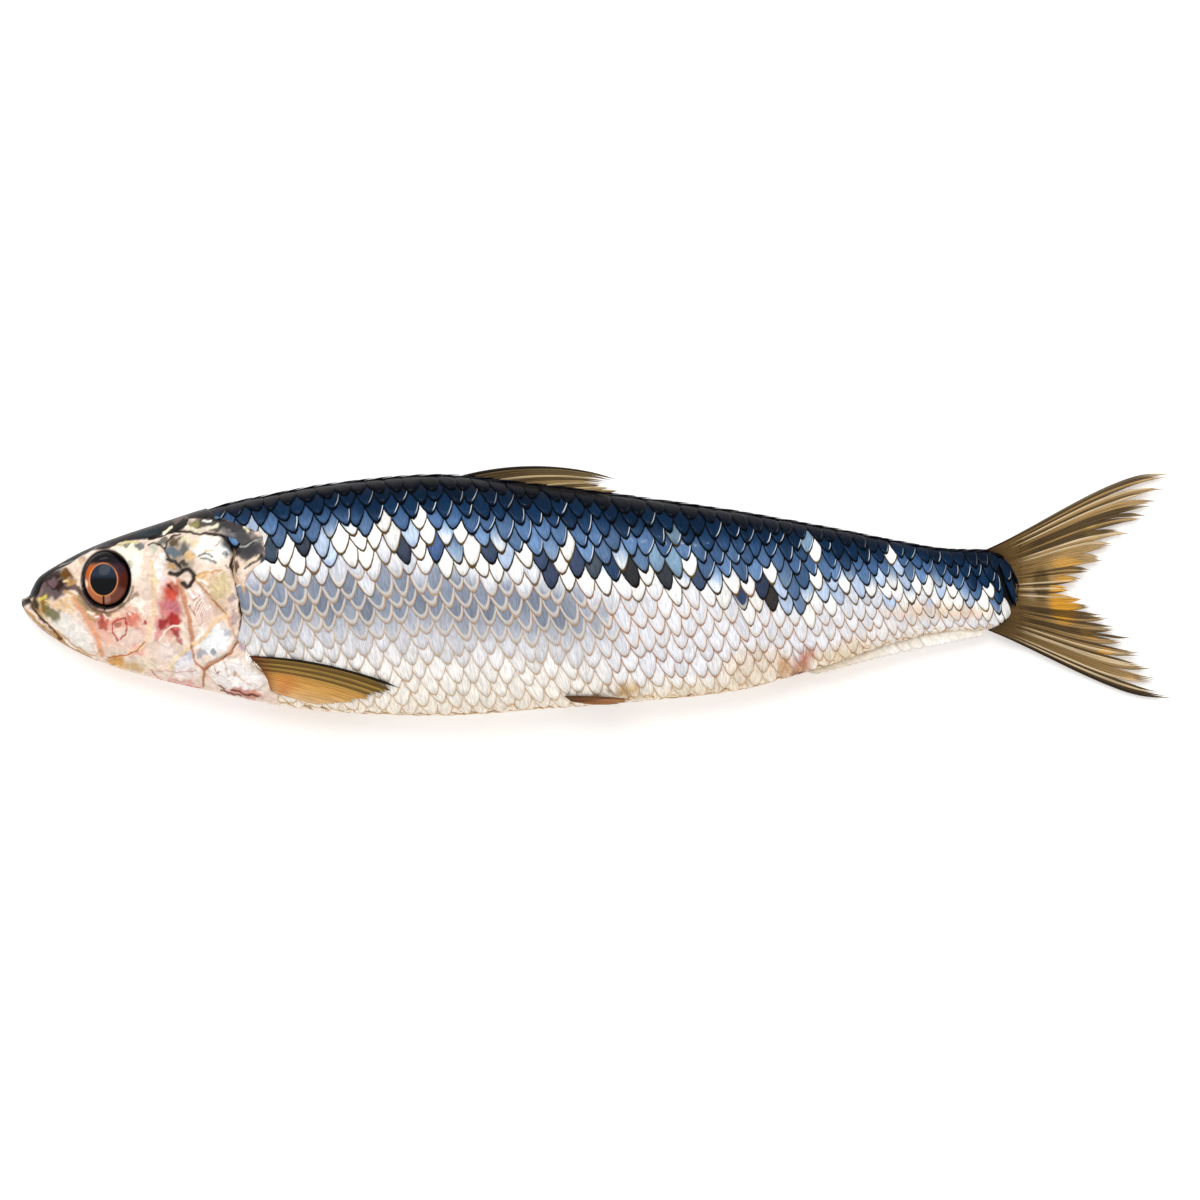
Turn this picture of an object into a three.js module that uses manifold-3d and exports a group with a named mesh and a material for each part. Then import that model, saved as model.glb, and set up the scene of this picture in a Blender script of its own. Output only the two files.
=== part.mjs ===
// A whole raw sardine, lying on its right flank.
// Units are millimetres. +X runs from the snout to the tail, +Y from the belly to the back, and +Z up,
// out of the left flank. Trunk and head are one solid. The eyes sit in sockets, and each fin's root is
// sunk in a slot.
import * as THREE from "three";
import { mergeVertices } from "three/addons/utils/BufferGeometryUtils.js";
import Module from "manifold-3d";

const wasm = await Module();
wasm.setup();

// ---- Driving dimensions -------------------------------------------------------------------------

const HIP = 150; // from the snout to where the scaled trunk starts to round off into the tail fin
const TRUNK_END = 156; // from the snout to the end of the scales
const WIDEST = 8.8; // half the body's greatest thickness
const SAG = 0.75; // how much of the taper a limp fish gives up as it lies: 0 is rigid, 1 is flat on the table
const PRESSED = 0.45; // how far the fattest part of the right flank is pressed flat
const CLEARANCE = 0.3; // round every piece that is let into the trunk

// Distance from the snout, height of the back and of the belly above the long axis, and half the thickness.
const BODY_PROFILE = [
  [0, -1.4, -2.4, 0.5],
  [1, 0.3, -3.9, 1.6],
  [3, 2.2, -5.9, 2.5],
  [6, 4.1, -8.0, 3.5],
  [10, 6.2, -10.1, 4.7],
  [15, 8.2, -12.1, 5.8],
  [22, 10.5, -14.0, 6.9],
  [30, 13.0, -15.8, 7.8],
  [40, 15.2, -17.9, 8.4],
  [50, 16.9, -19.1, 8.7],
  [65, 18.1, -19.6, WIDEST],
  [80, 16.7, -18.7, 8.5],
  [95, 14.8, -17.5, 7.8],
  [110, 12.7, -16.0, 6.8],
  [125, 10.1, -12.1, 5.2],
  [138, 7.6, -7.9, 3.7],
  [145, 6.5, -6.5, 2.8],
  [HIP, 6.4, -6.3, 2.3],
];

const TEARDROP = 0.12; // how much fuller the section is towards the back than towards the belly
const FLANK_POWER = 0.9; // under 1, the flanks are flatter than an ellipse's

const EYE = { s: 13.7, h: 1.6, length: 3.8, height: 4.4, depth: 2.4, sunk: 1.95 };
const MOUTH_SLIT = { points: [[-1.5, 0.6], [0.6, -1.5], [2.0, -3.0], [3.9, -5.4]], gape: 0.45, end: 0.2 };

// The gill cover's free edge: height, and there the distance from the snout.
const GILL_TOP = 8.8;
const GILL_EDGE = [
  [-15.4, 28.5],
  [-12.0, 28.9],
  [-9.5, 33.0],
  [-7.0, 34.4],
  [-3.5, 34.9],
  [0.5, 34.0],
  [3.0, 33.4],
  [6.0, 33.4],
  [8.0, 32.0],
  [GILL_TOP, 29.7],
];
const GILL_COVER = { raised: 0.55, slit: 0.45, slitWidth: 1.4, starts: 17, full: 26 };
const UPPER_JAW_PLATE = { s: 7.8, h: -5.6, length: 6.0, width: 2.1, slope: -0.9, raised: 0.3 };
const BREAST_LOBE = { s: 34.0, h: -13.1, length: 4.9, width: 2.4, slope: -0.25, raised: 0.5 };

const TAIL_SAG = 0.75; // how much lower than the middle plane the tail's tips hang
const TAIL_RIPPLE = { height: 0.22, turns: 0.55 };

// ---- Curves -------------------------------------------------------------------------------------

const clamp = THREE.MathUtils.clamp;
const lerp = THREE.MathUtils.lerp;
const smooth = THREE.MathUtils.smoothstep;

// A smooth curve through (x, y) points that never overshoots them, as y for any x.
function curveThrough(points) {
  const xs = points.map((p) => p[0]);
  const ys = points.map((p) => p[1]);
  const last = xs.length - 1;
  const rise = xs.slice(1).map((x, i) => (ys[i + 1] - ys[i]) / (x - xs[i]));
  const slope = xs.map((_, i) => {
    if (i === 0) return rise[0];
    if (i === last) return rise[last - 1];
    const [before, after] = [rise[i - 1], rise[i]];
    return before * after <= 0 ? 0 : (2 * before * after) / (before + after);
  });
  return (x) => {
    if (x <= xs[0]) return ys[0];
    if (x >= xs[last]) return ys[last];
    let i = 0;
    while (x > xs[i + 1]) i++;
    const width = xs[i + 1] - xs[i];
    const t = (x - xs[i]) / width;
    const u = 1 - t;
    return (
      ys[i] * u * u * (1 + 2 * t) +
      ys[i + 1] * t * t * (1 + 2 * u) +
      slope[i] * width * t * u * u -
      slope[i + 1] * width * u * t * t
    );
  };
}

const profileColumn = (k) => curveThrough(BODY_PROFILE.map((row) => [row[0], row[k]]));
const backLine = profileColumn(1);
const bellyLine = profileColumn(2);
const halfThickness = profileColumn(3);
const gillEdge = curveThrough(GILL_EDGE);

// ---- The trunk's surface ------------------------------------------------------------------------

// 1 along the trunk, falling to 0 as an ellipse does from the hip to the end of the scales.
function roundOff(s) {
  const past = clamp((s - HIP) / (TRUNK_END - HIP), 0, 1);
  return Math.sqrt(1 - past * past);
}

// Height of the fish's middle plane above the table: the thin ends sink most of the way down.
const middleHeight = (s) => lerp(WIDEST, halfThickness(s) * roundOff(s), SAG) - PRESSED;

// Half the thickness at a height h above the long axis.
function halfWidthAt(s, h) {
  const middle = (backLine(s) + bellyLine(s)) / 2;
  const half = ((backLine(s) - bellyLine(s)) / 2) * roundOff(s);
  if (half <= 0) return 0;
  const c = clamp((h - middle) / half, -1, 1);
  return halfThickness(s) * roundOff(s) * Math.pow(1 - c * c, FLANK_POWER / 2) * (1 + TEARDROP * c);
}

// 1 in the middle of a leaning oval and 0 at its edge and outside it.
function ovalSwell(s, h, { s: s0, h: h0, length, width, slope }) {
  const along = Math.hypot(1, slope);
  const u = (s - s0 + (h - h0) * slope) / along / length;
  const v = (h - h0 - (s - s0) * slope) / along / width;
  return 1 - smooth(Math.hypot(u, v), 0.72, 1);
}

// The head's plates, as a height above the plain flank.
function headRelief(s, h) {
  const behind = s - gillEdge(h);
  const under = GILL_TOP - h;
  const cover = Math.min(-behind, under);
  let relief = GILL_COVER.raised * smooth(cover, -0.1, 0.7) * smooth(s, GILL_COVER.starts, GILL_COVER.full);
  if (h < GILL_TOP && h > bellyLine(s) + 2) {
    relief -= GILL_COVER.slit * smooth(behind, -0.2, 0.3) * (1 - smooth(behind, 0.3, GILL_COVER.slitWidth));
  }
  relief += UPPER_JAW_PLATE.raised * ovalSwell(s, h, UPPER_JAW_PLATE);
  relief += BREAST_LOBE.raised * ovalSwell(s, h, BREAST_LOBE);
  return relief;
}

// Height of the left flank above the table, or with side -1 of the right flank, which the table presses flat.
function flank(s, h, side) {
  const reach = halfWidthAt(s, h);
  const relief = headRelief(s, h) * smooth(reach, 0.5, 3);
  return Math.max(middleHeight(s) + side * (reach + relief), 0);
}

// ---- Solids -------------------------------------------------------------------------------------

function solidOf(geometry) {
  const bare = geometry.clone();
  bare.deleteAttribute("normal");
  bare.deleteAttribute("uv");
  const merged = mergeVertices(bare, 1e-4);
  return new wasm.Manifold(
    new wasm.Mesh({
      numProp: 3,
      vertProperties: new Float32Array(merged.attributes.position.array),
      triVerts: new Uint32Array(merged.index.array),
    }),
  );
}

function geometryOf(solid) {
  const mesh = solid.getMesh();
  const geometry = new THREE.BufferGeometry();
  geometry.setAttribute("position", new THREE.BufferAttribute(mesh.vertProperties, 3));
  geometry.setIndex(new THREE.BufferAttribute(mesh.triVerts, 1));
  geometry.computeVertexNormals();
  return geometry;
}

// A thin plate of rows and columns. place(u, v) is a point in its middle face and half(u, v) half its
// thickness. Both faces are split into triangles alike, so the plate never crosses itself.
function plateGeometry(columns, rows, place, half) {
  const [corner, alongRow, alongColumn] = [place(0.5, 0.5), place(0.5, 0.6), place(0.6, 0.5)];
  const [rowX, rowY] = [alongRow[0] - corner[0], alongRow[1] - corner[1]];
  const [columnX, columnY] = [alongColumn[0] - corner[0], alongColumn[1] - corner[1]];
  const front = Math.sign(rowX * columnY - rowY * columnX);
  const points = [];
  for (const face of [front, -front]) {
    for (let i = 0; i <= columns; i++) {
      for (let j = 0; j <= rows; j++) {
        const [x, y, z] = place(i / columns, j / rows);
        points.push(x, y, z + face * half(i / columns, j / rows));
      }
    }
  }
  const across = rows + 1;
  const under = (columns + 1) * across;
  const triangles = [];
  const quad = (a, b, c, d) => triangles.push(a, b, c, a, c, d);
  for (let i = 0; i < columns; i++) {
    for (let j = 0; j < rows; j++) {
      const a = i * across + j;
      const [b, c, d] = [a + 1, a + across + 1, a + across];
      quad(a, b, c, d);
      triangles.push(under + a, under + c, under + b, under + a, under + d, under + c);
    }
  }
  for (let i = 0; i < columns; i++) {
    for (const [j, turned] of [[0, false], [rows, true]]) {
      const [a, b] = [i * across + j, (i + 1) * across + j];
      if (turned) quad(a, under + a, under + b, b);
      else quad(a, b, under + b, under + a);
    }
  }
  for (let j = 0; j < rows; j++) {
    for (const [i, turned] of [[0, true], [columns, false]]) {
      const [a, b] = [i * across + j, i * across + j + 1];
      if (turned) quad(a, under + a, under + b, b);
      else quad(a, b, under + b, under + a);
    }
  }
  const geometry = new THREE.BufferGeometry();
  geometry.setAttribute("position", new THREE.Float32BufferAttribute(points, 3));
  geometry.setIndex(triangles);
  return geometry;
}

// ---- Fins ---------------------------------------------------------------------------------------

const at = (points, f) => {
  const k = clamp(f, 0, 1) * (points.length - 1);
  const i = Math.min(Math.floor(k), points.length - 2);
  return [lerp(points[i][0], points[i + 1][0], k - i), lerp(points[i][1], points[i + 1][1], k - i)];
};

// How much of its bow a ray has along its length: most in the middle, or most towards its tip.
const evenBow = (v) => 4 * v * (1 - v);
const lateBow = (v) => (27 / 4) * v * v * (1 - v);

// A fin is a fan of rays with skin between them. Ray f, from 0 to 1, runs from the root line to the tip
// line, bowed sideways by bow(f), and the skin stops short of the tips. height(s, h, v) is the height
// above the table.
function finGeometry({ root, tips, bow, bowed = evenBow, rays, steps, thick, fray, height }, spare = 0) {
  const columns = 2 * (rays - 1);
  const place = (u, v) => {
    const column = Math.round(u * columns);
    const skin = column % 2;
    const short = skin * fray * (1 + Math.sin(column * 2.7) * 0.45);
    const along = v * (1 - short);
    const [rs, rh] = at(root, u);
    const [ts, th] = at(tips, u);
    const s = lerp(rs, ts, along);
    const h = lerp(rh, th, along) + bow(u) * bowed(along);
    return [s, h, height(s, h, along)];
  };
  const half = (u, v) => {
    const skin = Math.round(u * columns) % 2;
    return (thick / 2) * (1 - 0.35 * skin) * (1 - 0.45 * v) + spare;
  };
  return plateGeometry(columns, steps, place, half);
}

const tailSag = (s) => TAIL_SAG * smooth(s, TRUNK_END, 178);
const tailRipple = (s, h) =>
  TAIL_RIPPLE.height * Math.sin(h * TAIL_RIPPLE.turns) * smooth(s, TRUNK_END, 168);

const TAIL_FIN = {
  root: [[150.6, 6.3], [153.2, 4.0], [154.0, 0], [153.2, -4.0], [151.0, -6.3]],
  tips: [
    [179.7, 18.8], [177.2, 13.8], [172.3, 8.4], [168.0, 3.4],
    [163.8, 0.1],
    [168.0, -3.0], [172.8, -7.3], [177.0, -12.2], [180.1, -17.6],
  ],
  bow: (f) => (f < 0.5 ? 1.7 : 1.3) * (1 - 2 * f),
  bowed: lateBow,
  rays: 17,
  steps: 7,
  thick: 0.62,
  fray: 0.07,
  height: (s, h) => middleHeight(s) - tailSag(s) + tailRipple(s, h),
};

const DORSAL_FIN = {
  root: [[66.0, 17.0], [84.5, 14.8]],
  tips: [[93.3, 17.3], [91.8, 16.8], [90.2, 16.5], [93.7, 15.2]],
  bow: (f) => 2.15 * (1 - f) * (1 - f),
  rays: 9,
  steps: 6,
  thick: 0.6,
  fray: 0.03,
  height: (s) => middleHeight(s),
};

const ANAL_FIN = {
  root: [[120.0, -11.8], [136.0, -6.9], [149.0, -4.7]],
  tips: [[124.0, -13.2], [134.0, -10.6], [142.0, -8.9], [150.4, -7.2]],
  bow: () => 0,
  rays: 10,
  steps: 3,
  thick: 0.5,
  fray: 0.06,
  height: (s, h) => middleHeight(s) + 0.12 * Math.sin(s),
};

// The paired fins hug the flank. Their roots start under its skin, and the blade lies just off it.
function hugging(side, sink, lift) {
  return (s, h, v) => {
    const off = lerp(-sink, lift, smooth(v, 0.0, 0.16));
    const inward = clamp(h, bellyLine(s) + 0.9, backLine(s));
    const height = flank(s, inward, side) + side * (off + 0.5 * (inward - h));
    return Math.max(height, 0.35);
  };
}

const pectoralFin = (side) => ({
  root: [[33.8, -10.2], [36.8, -12.8], [38.4, -15.4]],
  tips: [[58.4, -14.9], [55.6, -16.3], [51.8, -17.3], [47.0, -17.9]],
  bow: (f) => lerp(1.3, -0.15, f),
  rays: 9,
  steps: 7,
  thick: 0.5,
  fray: 0.05,
  height: hugging(side, 1.0, 0.62),
});

const pelvicFin = (side) => ({
  root: [[83.8, -16.5], [85.2, -17.2]],
  tips: [[95.8, -17.0], [94.4, -17.5], [92.6, -17.8]],
  bow: (f) => lerp(0.25, -0.25, f),
  rays: 5,
  steps: 6,
  thick: 0.5,
  fray: 0.04,
  height: hugging(side, 0.9, 0.6),
});

// ---- Trunk, head and what is let into them ------------------------------------------------------

const NOSE = { ends: 2, steps: 5 };
const HEAD = { ends: 38, steps: 38 };
const TRUNK = { ends: HIP, steps: 26 };
const END_STEPS = 7;
const RING = 34;

// Stations from the snout to the end of the scales, closest together at the nose and over the head.
function stations() {
  const found = [];
  const quarterTurn = (part) => (Math.PI / 2) * part;
  for (let i = 0; i < NOSE.steps; i++) found.push(NOSE.ends * (1 - Math.cos(quarterTurn(i / NOSE.steps))));
  for (let i = 0; i < HEAD.steps; i++) found.push(lerp(NOSE.ends, HEAD.ends, i / HEAD.steps));
  for (let i = 0; i < TRUNK.steps; i++) found.push(lerp(HEAD.ends, TRUNK.ends, i / TRUNK.steps));
  for (let i = 0; i <= END_STEPS; i++) {
    found.push(lerp(HIP, TRUNK_END, Math.sin(quarterTurn(i / END_STEPS))));
  }
  return found;
}

// A globe whose poles are the snout and the end of the scales, drawn out into the fish.
function trunkGeometry() {
  const along = stations();
  const rows = along.length - 1;
  const globe = new THREE.SphereGeometry(1, RING, rows);
  const position = globe.attributes.position;
  const uv = globe.attributes.uv;
  for (let i = 0; i < position.count; i++) {
    const row = Math.round((1 - uv.getY(i)) * rows);
    const s = row === 0 ? 0 : along[row];
    const turn = -2 * Math.PI * ((i % (RING + 1)) / RING);
    const middle = (backLine(s) + bellyLine(s)) / 2;
    const half = row === 0 || row === rows ? 0 : ((backLine(s) - bellyLine(s)) / 2) * roundOff(s);
    const h = middle + half * Math.cos(turn);
    const rise = Math.sin(turn);
    const onRidge = Math.abs(rise) < 1e-6 || half === 0;
    position.setXYZ(i, s, h, onRidge ? middleHeight(s) : flank(s, h, Math.sign(rise)));
  }
  return globe;
}

// The mouth: a thin wedge through both sides of the snout, along the line between the jaws.
function mouthGeometry() {
  const { points, gape, end } = MOUTH_SLIT;
  const edge = (side) =>
    points.map(([x, y], i) => {
      const half = (side * lerp(gape, end, i / (points.length - 1))) / 2;
      return new THREE.Vector2(x + half, y + half);
    });
  const shape = new THREE.Shape([...edge(1), ...edge(-1).reverse()]);
  const wedge = new THREE.ExtrudeGeometry(shape, { depth: 4 * WIDEST, bevelEnabled: false });
  return wedge.translate(0, 0, -WIDEST);
}

// An eyeball, as a lens that stands a little proud of the cheek. side is 1 on the left and -1 on the right.
function eyeGeometry(side, spare = 0) {
  const ball = new THREE.SphereGeometry(1, 20, 12);
  ball.rotateX(Math.PI / 2);
  ball.scale(EYE.length + spare, EYE.height + spare, EYE.depth + spare);
  const cheek = middleHeight(EYE.s) + side * halfWidthAt(EYE.s, EYE.h);
  return ball.translate(EYE.s, EYE.h, cheek - side * EYE.sunk);
}

const letIn = [
  ["eye_left", (spare) => eyeGeometry(1, spare), "eye"],
  ["eye_right", (spare) => eyeGeometry(-1, spare), "eye"],
  ["dorsal_fin", (spare) => finGeometry(DORSAL_FIN, spare), "fin"],
  ["anal_fin", (spare) => finGeometry(ANAL_FIN, spare), "pale_fin"],
  ["tail_fin", (spare) => finGeometry(TAIL_FIN, spare), "fin"],
  ["pectoral_fin_left", (spare) => finGeometry(pectoralFin(1), spare), "fin"],
  ["pectoral_fin_right", (spare) => finGeometry(pectoralFin(-1), spare), "fin"],
  ["pelvic_fin_left", (spare) => finGeometry(pelvicFin(1), spare), "fin"],
  ["pelvic_fin_right", (spare) => finGeometry(pelvicFin(-1), spare), "fin"],
];

const FINISHES = {
  skin: new THREE.MeshStandardMaterial({ color: 0x9fa9b5, roughness: 0.3, metalness: 0.45 }),
  eye: new THREE.MeshStandardMaterial({ color: 0x1b1412, roughness: 0.08, metalness: 0.0 }),
  fin: new THREE.MeshStandardMaterial({ color: 0x9a7a43, roughness: 0.45, metalness: 0.0 }),
  pale_fin: new THREE.MeshStandardMaterial({ color: 0xd9cdbb, roughness: 0.45, metalness: 0.0 }),
};

function buildSardine() {
  const fish = new THREE.Group();
  let trunk = solidOf(trunkGeometry());
  for (const [, shape] of letIn) trunk = trunk.subtract(solidOf(shape(CLEARANCE)));
  trunk = trunk.subtract(solidOf(mouthGeometry()));
  const whole = trunk.decompose().sort((a, b) => b.volume() - a.volume())[0];
  const named = (name, geometry, finish) => {
    const mesh = new THREE.Mesh(geometry, FINISHES[finish]);
    mesh.name = name;
    fish.add(mesh);
  };
  named("body", geometryOf(whole), "skin");
  for (const [name, shape, finish] of letIn) named(name, shape(0), finish);
  return fish;
}

const sardine = buildSardine();

// The origin is on the table, under the middle of the fish.
const extent = new THREE.Box3().setFromObject(sardine, true);
const centre = extent.getCenter(new THREE.Vector3());
sardine.position.set(-centre.x, -centre.y, -extent.min.z);

export default sardine;
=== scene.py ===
import math

import bmesh
import bpy
import numpy as np
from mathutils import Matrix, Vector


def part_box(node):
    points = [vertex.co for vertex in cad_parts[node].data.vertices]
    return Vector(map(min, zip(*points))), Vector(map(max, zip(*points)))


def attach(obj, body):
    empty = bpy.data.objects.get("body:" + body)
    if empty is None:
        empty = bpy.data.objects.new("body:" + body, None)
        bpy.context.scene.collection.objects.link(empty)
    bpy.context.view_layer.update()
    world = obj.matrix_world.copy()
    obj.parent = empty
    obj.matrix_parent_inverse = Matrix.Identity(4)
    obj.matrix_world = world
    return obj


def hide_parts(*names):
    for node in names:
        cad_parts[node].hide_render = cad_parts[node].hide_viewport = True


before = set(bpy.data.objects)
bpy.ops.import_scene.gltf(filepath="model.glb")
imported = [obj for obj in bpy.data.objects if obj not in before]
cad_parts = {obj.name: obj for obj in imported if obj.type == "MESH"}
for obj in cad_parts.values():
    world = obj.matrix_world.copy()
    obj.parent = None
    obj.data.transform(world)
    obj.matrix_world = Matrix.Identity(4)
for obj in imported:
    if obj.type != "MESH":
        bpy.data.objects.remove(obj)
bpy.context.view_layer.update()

# ---- Skin of the head ---------------------------------------------------------------------------
# The bare, scaleless skin over the skull, jaws, cheek and gill cover, with the soft lobe over the
# shoulder. One closed skin drawn from the same outline as the solid: ribs of thin bone show through
# it, and blood shows under the cheek.

MM = 0.001  # the fish's own measures are millimetres from the tip of the snout and from its long axis
LENGTH = 180
HIP = 150
TRUNK_END = 156
WIDEST = 8.8
SAG = 0.75
PRESSED = 0.45
TEARDROP = 0.12
FLANK_POWER = 0.9

# Distance from the snout, height of the back and of the belly, and half the thickness.
BODY_PROFILE = (
    (0, -1.4, -2.4, 0.5),
    (1, 0.3, -3.9, 1.6),
    (3, 2.2, -5.9, 2.5),
    (6, 4.1, -8.0, 3.5),
    (10, 6.2, -10.1, 4.7),
    (15, 8.2, -12.1, 5.8),
    (22, 10.5, -14.0, 6.9),
    (30, 13.0, -15.8, 7.8),
    (40, 15.2, -17.9, 8.4),
    (50, 16.9, -19.1, 8.7),
    (65, 18.1, -19.6, WIDEST),
    (80, 16.7, -18.7, 8.5),
    (95, 14.8, -17.5, 7.8),
    (110, 12.7, -16.0, 6.8),
    (125, 10.1, -12.1, 5.2),
    (138, 7.6, -7.9, 3.7),
    (145, 6.5, -6.5, 2.8),
    (HIP, 6.4, -6.3, 2.3),
)
SNOUT_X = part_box("body")[0].x
AXIS_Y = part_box("body")[0].y / MM - min(row[2] for row in BODY_PROFILE)

# The gill cover's free edge, as height and distance from the snout.
GILL_TOP = 8.8
GILL_EDGE = (
    (-15.4, 28.5), (-12.0, 28.9), (-9.5, 33.0), (-7.0, 34.4), (-3.5, 34.9), (0.5, 34.0), (3.0, 33.4),
    (6.0, 33.4), (8.0, 32.0), (GILL_TOP, 29.7),
)
GILL_COVER = {"raised": 0.55, "slit": 0.45, "slit_width": 1.4, "starts": 17, "full": 26}
UPPER_JAW_PLATE = {"centre": (7.8, -5.6), "radii": (6.0, 2.1), "slope": -0.9, "raised": 0.3}
BREAST_LOBE = {"centre": (34.0, -13.1), "radii": (4.9, 2.4), "slope": -0.25, "raised": 0.5}

# Where the scales start, as height and distance from the snout.
SCALE_LINE = (
    (-19.0, 40.5), (-16.0, 40.0), (-13.5, 38.5), (-10.5, 35.2), (-4.0, 35.6), (0.5, 35.2), (3.0, 36.4),
    (5.0, 38.4), (8.5, 38.0), (10.0, 35.0), (11.5, 31.0), (13.5, 28.0),
)
HEAD_END = 43.0
EYE = {"centre": (13.7, 1.6), "radii": (3.8, 4.4), "depth": 2.4, "sunk": 1.95}

# The photograph's own frame: where the snout, the tail's tips and the long axis lie in it, in pixels.
SNOUT_PIXEL = 20
TAIL_PIXEL = 1175
AXIS_PIXEL = 590
PIXEL = LENGTH / (TAIL_PIXEL - SNOUT_PIXEL)


def on_fish(place):
    """A place in the photograph, as distance from the snout and height."""
    return (place[0] - SNOUT_PIXEL) * PIXEL, (AXIS_PIXEL - place[1]) * PIXEL


def smooth(x, low, high):
    t = np.clip((np.asarray(x, float) - low) / (high - low), 0, 1)
    return t * t * (3 - 2 * t)


def bell(x, middle, width):
    return np.exp(-(((x - middle) / width) ** 2))


def curve_through(points, x):
    """The height at x of a smooth curve through (x, height) points, which never overshoots them."""
    xs, ys = np.array(points, float).T
    rise = np.diff(ys) / np.diff(xs)
    slope = np.concatenate(([rise[0]], np.zeros(len(xs) - 2), [rise[-1]]))
    turning = rise[:-1] * rise[1:] > 0
    total = np.where(turning, rise[:-1] + rise[1:], 1)
    slope[1:-1][turning] = (2 * rise[:-1] * rise[1:] / total)[turning]
    x = np.clip(x, xs[0], xs[-1])
    i = np.clip(np.searchsorted(xs, x, side="right") - 1, 0, len(xs) - 2)
    width = xs[i + 1] - xs[i]
    t = (x - xs[i]) / width
    u = 1 - t
    ends = ys[i] * u * u * (1 + 2 * t) + ys[i + 1] * t * t * (1 + 2 * u)
    return ends + slope[i] * width * t * u * u - slope[i + 1] * width * u * t * t


def profile(s, column):
    return curve_through([(row[0], row[column]) for row in BODY_PROFILE], s)


def round_off(s):
    past = np.clip((s - HIP) / (TRUNK_END - HIP), 0, 1)
    return np.sqrt(1 - past * past)


def middle_height(s):
    return WIDEST + (profile(s, 3) * round_off(s) - WIDEST) * SAG - PRESSED


def half_width(s, h):
    middle = (profile(s, 1) + profile(s, 2)) / 2
    half = np.maximum((profile(s, 1) - profile(s, 2)) / 2 * round_off(s), 1e-6)
    c = np.clip((h - middle) / half, -1, 1)
    return profile(s, 3) * round_off(s) * (1 - c * c) ** (FLANK_POWER / 2) * (1 + TEARDROP * c)


def oval_reach(s, h, centre, radii, slope):
    """1 on the edge of a leaning oval, and less inside it."""
    lean = math.atan(slope)
    x, y = s - centre[0], h - centre[1]
    along = x * math.cos(lean) + y * math.sin(lean)
    across = y * math.cos(lean) - x * math.sin(lean)
    return np.hypot(along / radii[0], across / radii[1])


def plate_swell(s, h, plate):
    reach = oval_reach(s, h, plate["centre"], plate["radii"], plate["slope"])
    return plate["raised"] * (1 - smooth(reach, 0.72, 1))


def head_relief(s, h):
    """The head's plates, as a height above the plain flank."""
    behind = s - curve_through(GILL_EDGE, h)
    cover = smooth(np.minimum(-behind, GILL_TOP - h), -0.1, 0.5)
    relief = GILL_COVER["raised"] * cover * smooth(s, GILL_COVER["starts"], GILL_COVER["full"])
    slit = smooth(behind, -0.2, 0.3) * (1 - smooth(behind, 0.3, GILL_COVER["slit_width"]))
    relief -= GILL_COVER["slit"] * slit * (h < GILL_TOP) * (h > profile(s, 2) + 2)
    return relief + plate_swell(s, h, UPPER_JAW_PLATE) + plate_swell(s, h, BREAST_LOBE)


def bare_surface(s, turn):
    middle = (profile(s, 1) + profile(s, 2)) / 2
    half = (profile(s, 1) - profile(s, 2)) / 2 * round_off(s)
    side = np.sin(turn)
    reach = profile(s, 3) * round_off(s) * np.abs(side) ** FLANK_POWER * (1 + TEARDROP * np.cos(turn))
    return np.stack([s, middle + half * np.cos(turn), middle_height(s) + np.sign(side) * reach], -1)


def skin(s, turn, out=0.0, relief=None):
    """Points of the skin, turned round from the ridge down the left flank. out lifts them off it."""
    s, turn, out = np.broadcast_arrays(np.asarray(s, float), turn, out)
    point = bare_surface(s, turn)
    step_s, step_turn = 0.05, 0.012
    along = bare_surface(np.minimum(s + step_s, TRUNK_END), turn)
    along = along - bare_surface(np.maximum(s - step_s, 0), turn)
    around = bare_surface(s, turn + step_turn) - bare_surface(s, turn - step_turn)
    normal = np.cross(around, along)
    normal = normal / np.maximum(np.linalg.norm(normal, axis=-1, keepdims=True), 1e-9)
    if relief is not None:
        off_ridge = smooth(np.abs(point[..., 2] - middle_height(s)), 0.5, 3)
        point[..., 2] += np.sign(np.sin(turn)) * relief(point[..., 0], point[..., 1]) * off_ridge
    pressed = (point[..., 2] <= 0)[..., None]
    point[..., 2] = np.maximum(point[..., 2], 0)
    lifted = point + np.where(pressed, np.array([0, 0, -1.0]), normal) * out[..., None]
    lifted[..., 2] = np.maximum(lifted[..., 2], 0)
    return lifted


def to_metres(points):
    """From the fish's own measures to the frame's."""
    x, y, z = np.asarray(points, float).reshape(-1, 3).T
    return np.column_stack([SNOUT_X + x * MM, (y + AXIS_Y) * MM, z * MM])


DEEPER = 0.08  # dark tones are laid on deeper by this power, for what the wet gloss adds to them


def linear(rgb):
    """A screen colour, 0 to 255, as the paint that shows it under the scene's light."""
    c = np.asarray(rgb, float) / 255
    c = np.where(c <= 0.04045, c / 12.92, ((c + 0.055) / 1.055) ** 2.4)
    return c * (c @ (0.2126, 0.7152, 0.0722)) ** DEEPER


def lay(colour, mask, rgb):
    colour += (linear(rgb) - colour) * np.clip(mask, 0, 1)[:, None]


PATCH_EDGE = (0.6, 1.2)  # where a patch's soft edge starts and ends, in shares of its radii
STROKE_EDGE = (0.25, 0.68)  # and a line's, in shares of its width


def patch(s, h, centre, radii, lean):
    """1 in the middle of a soft oval of the photograph, leaning up by lean degrees."""
    radii = (radii[0] * PIXEL, radii[1] * PIXEL)
    reach = oval_reach(s, h, on_fish(centre), radii, math.tan(math.radians(lean)))
    return 1 - smooth(reach, *PATCH_EDGE)


def lay_patches(colour, patches, s, h, share=1.0):
    for rgb, strength, centre, radii, lean in patches.values():
        lay(colour, strength * share * patch(s, h, centre, radii, lean), rgb)


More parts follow.
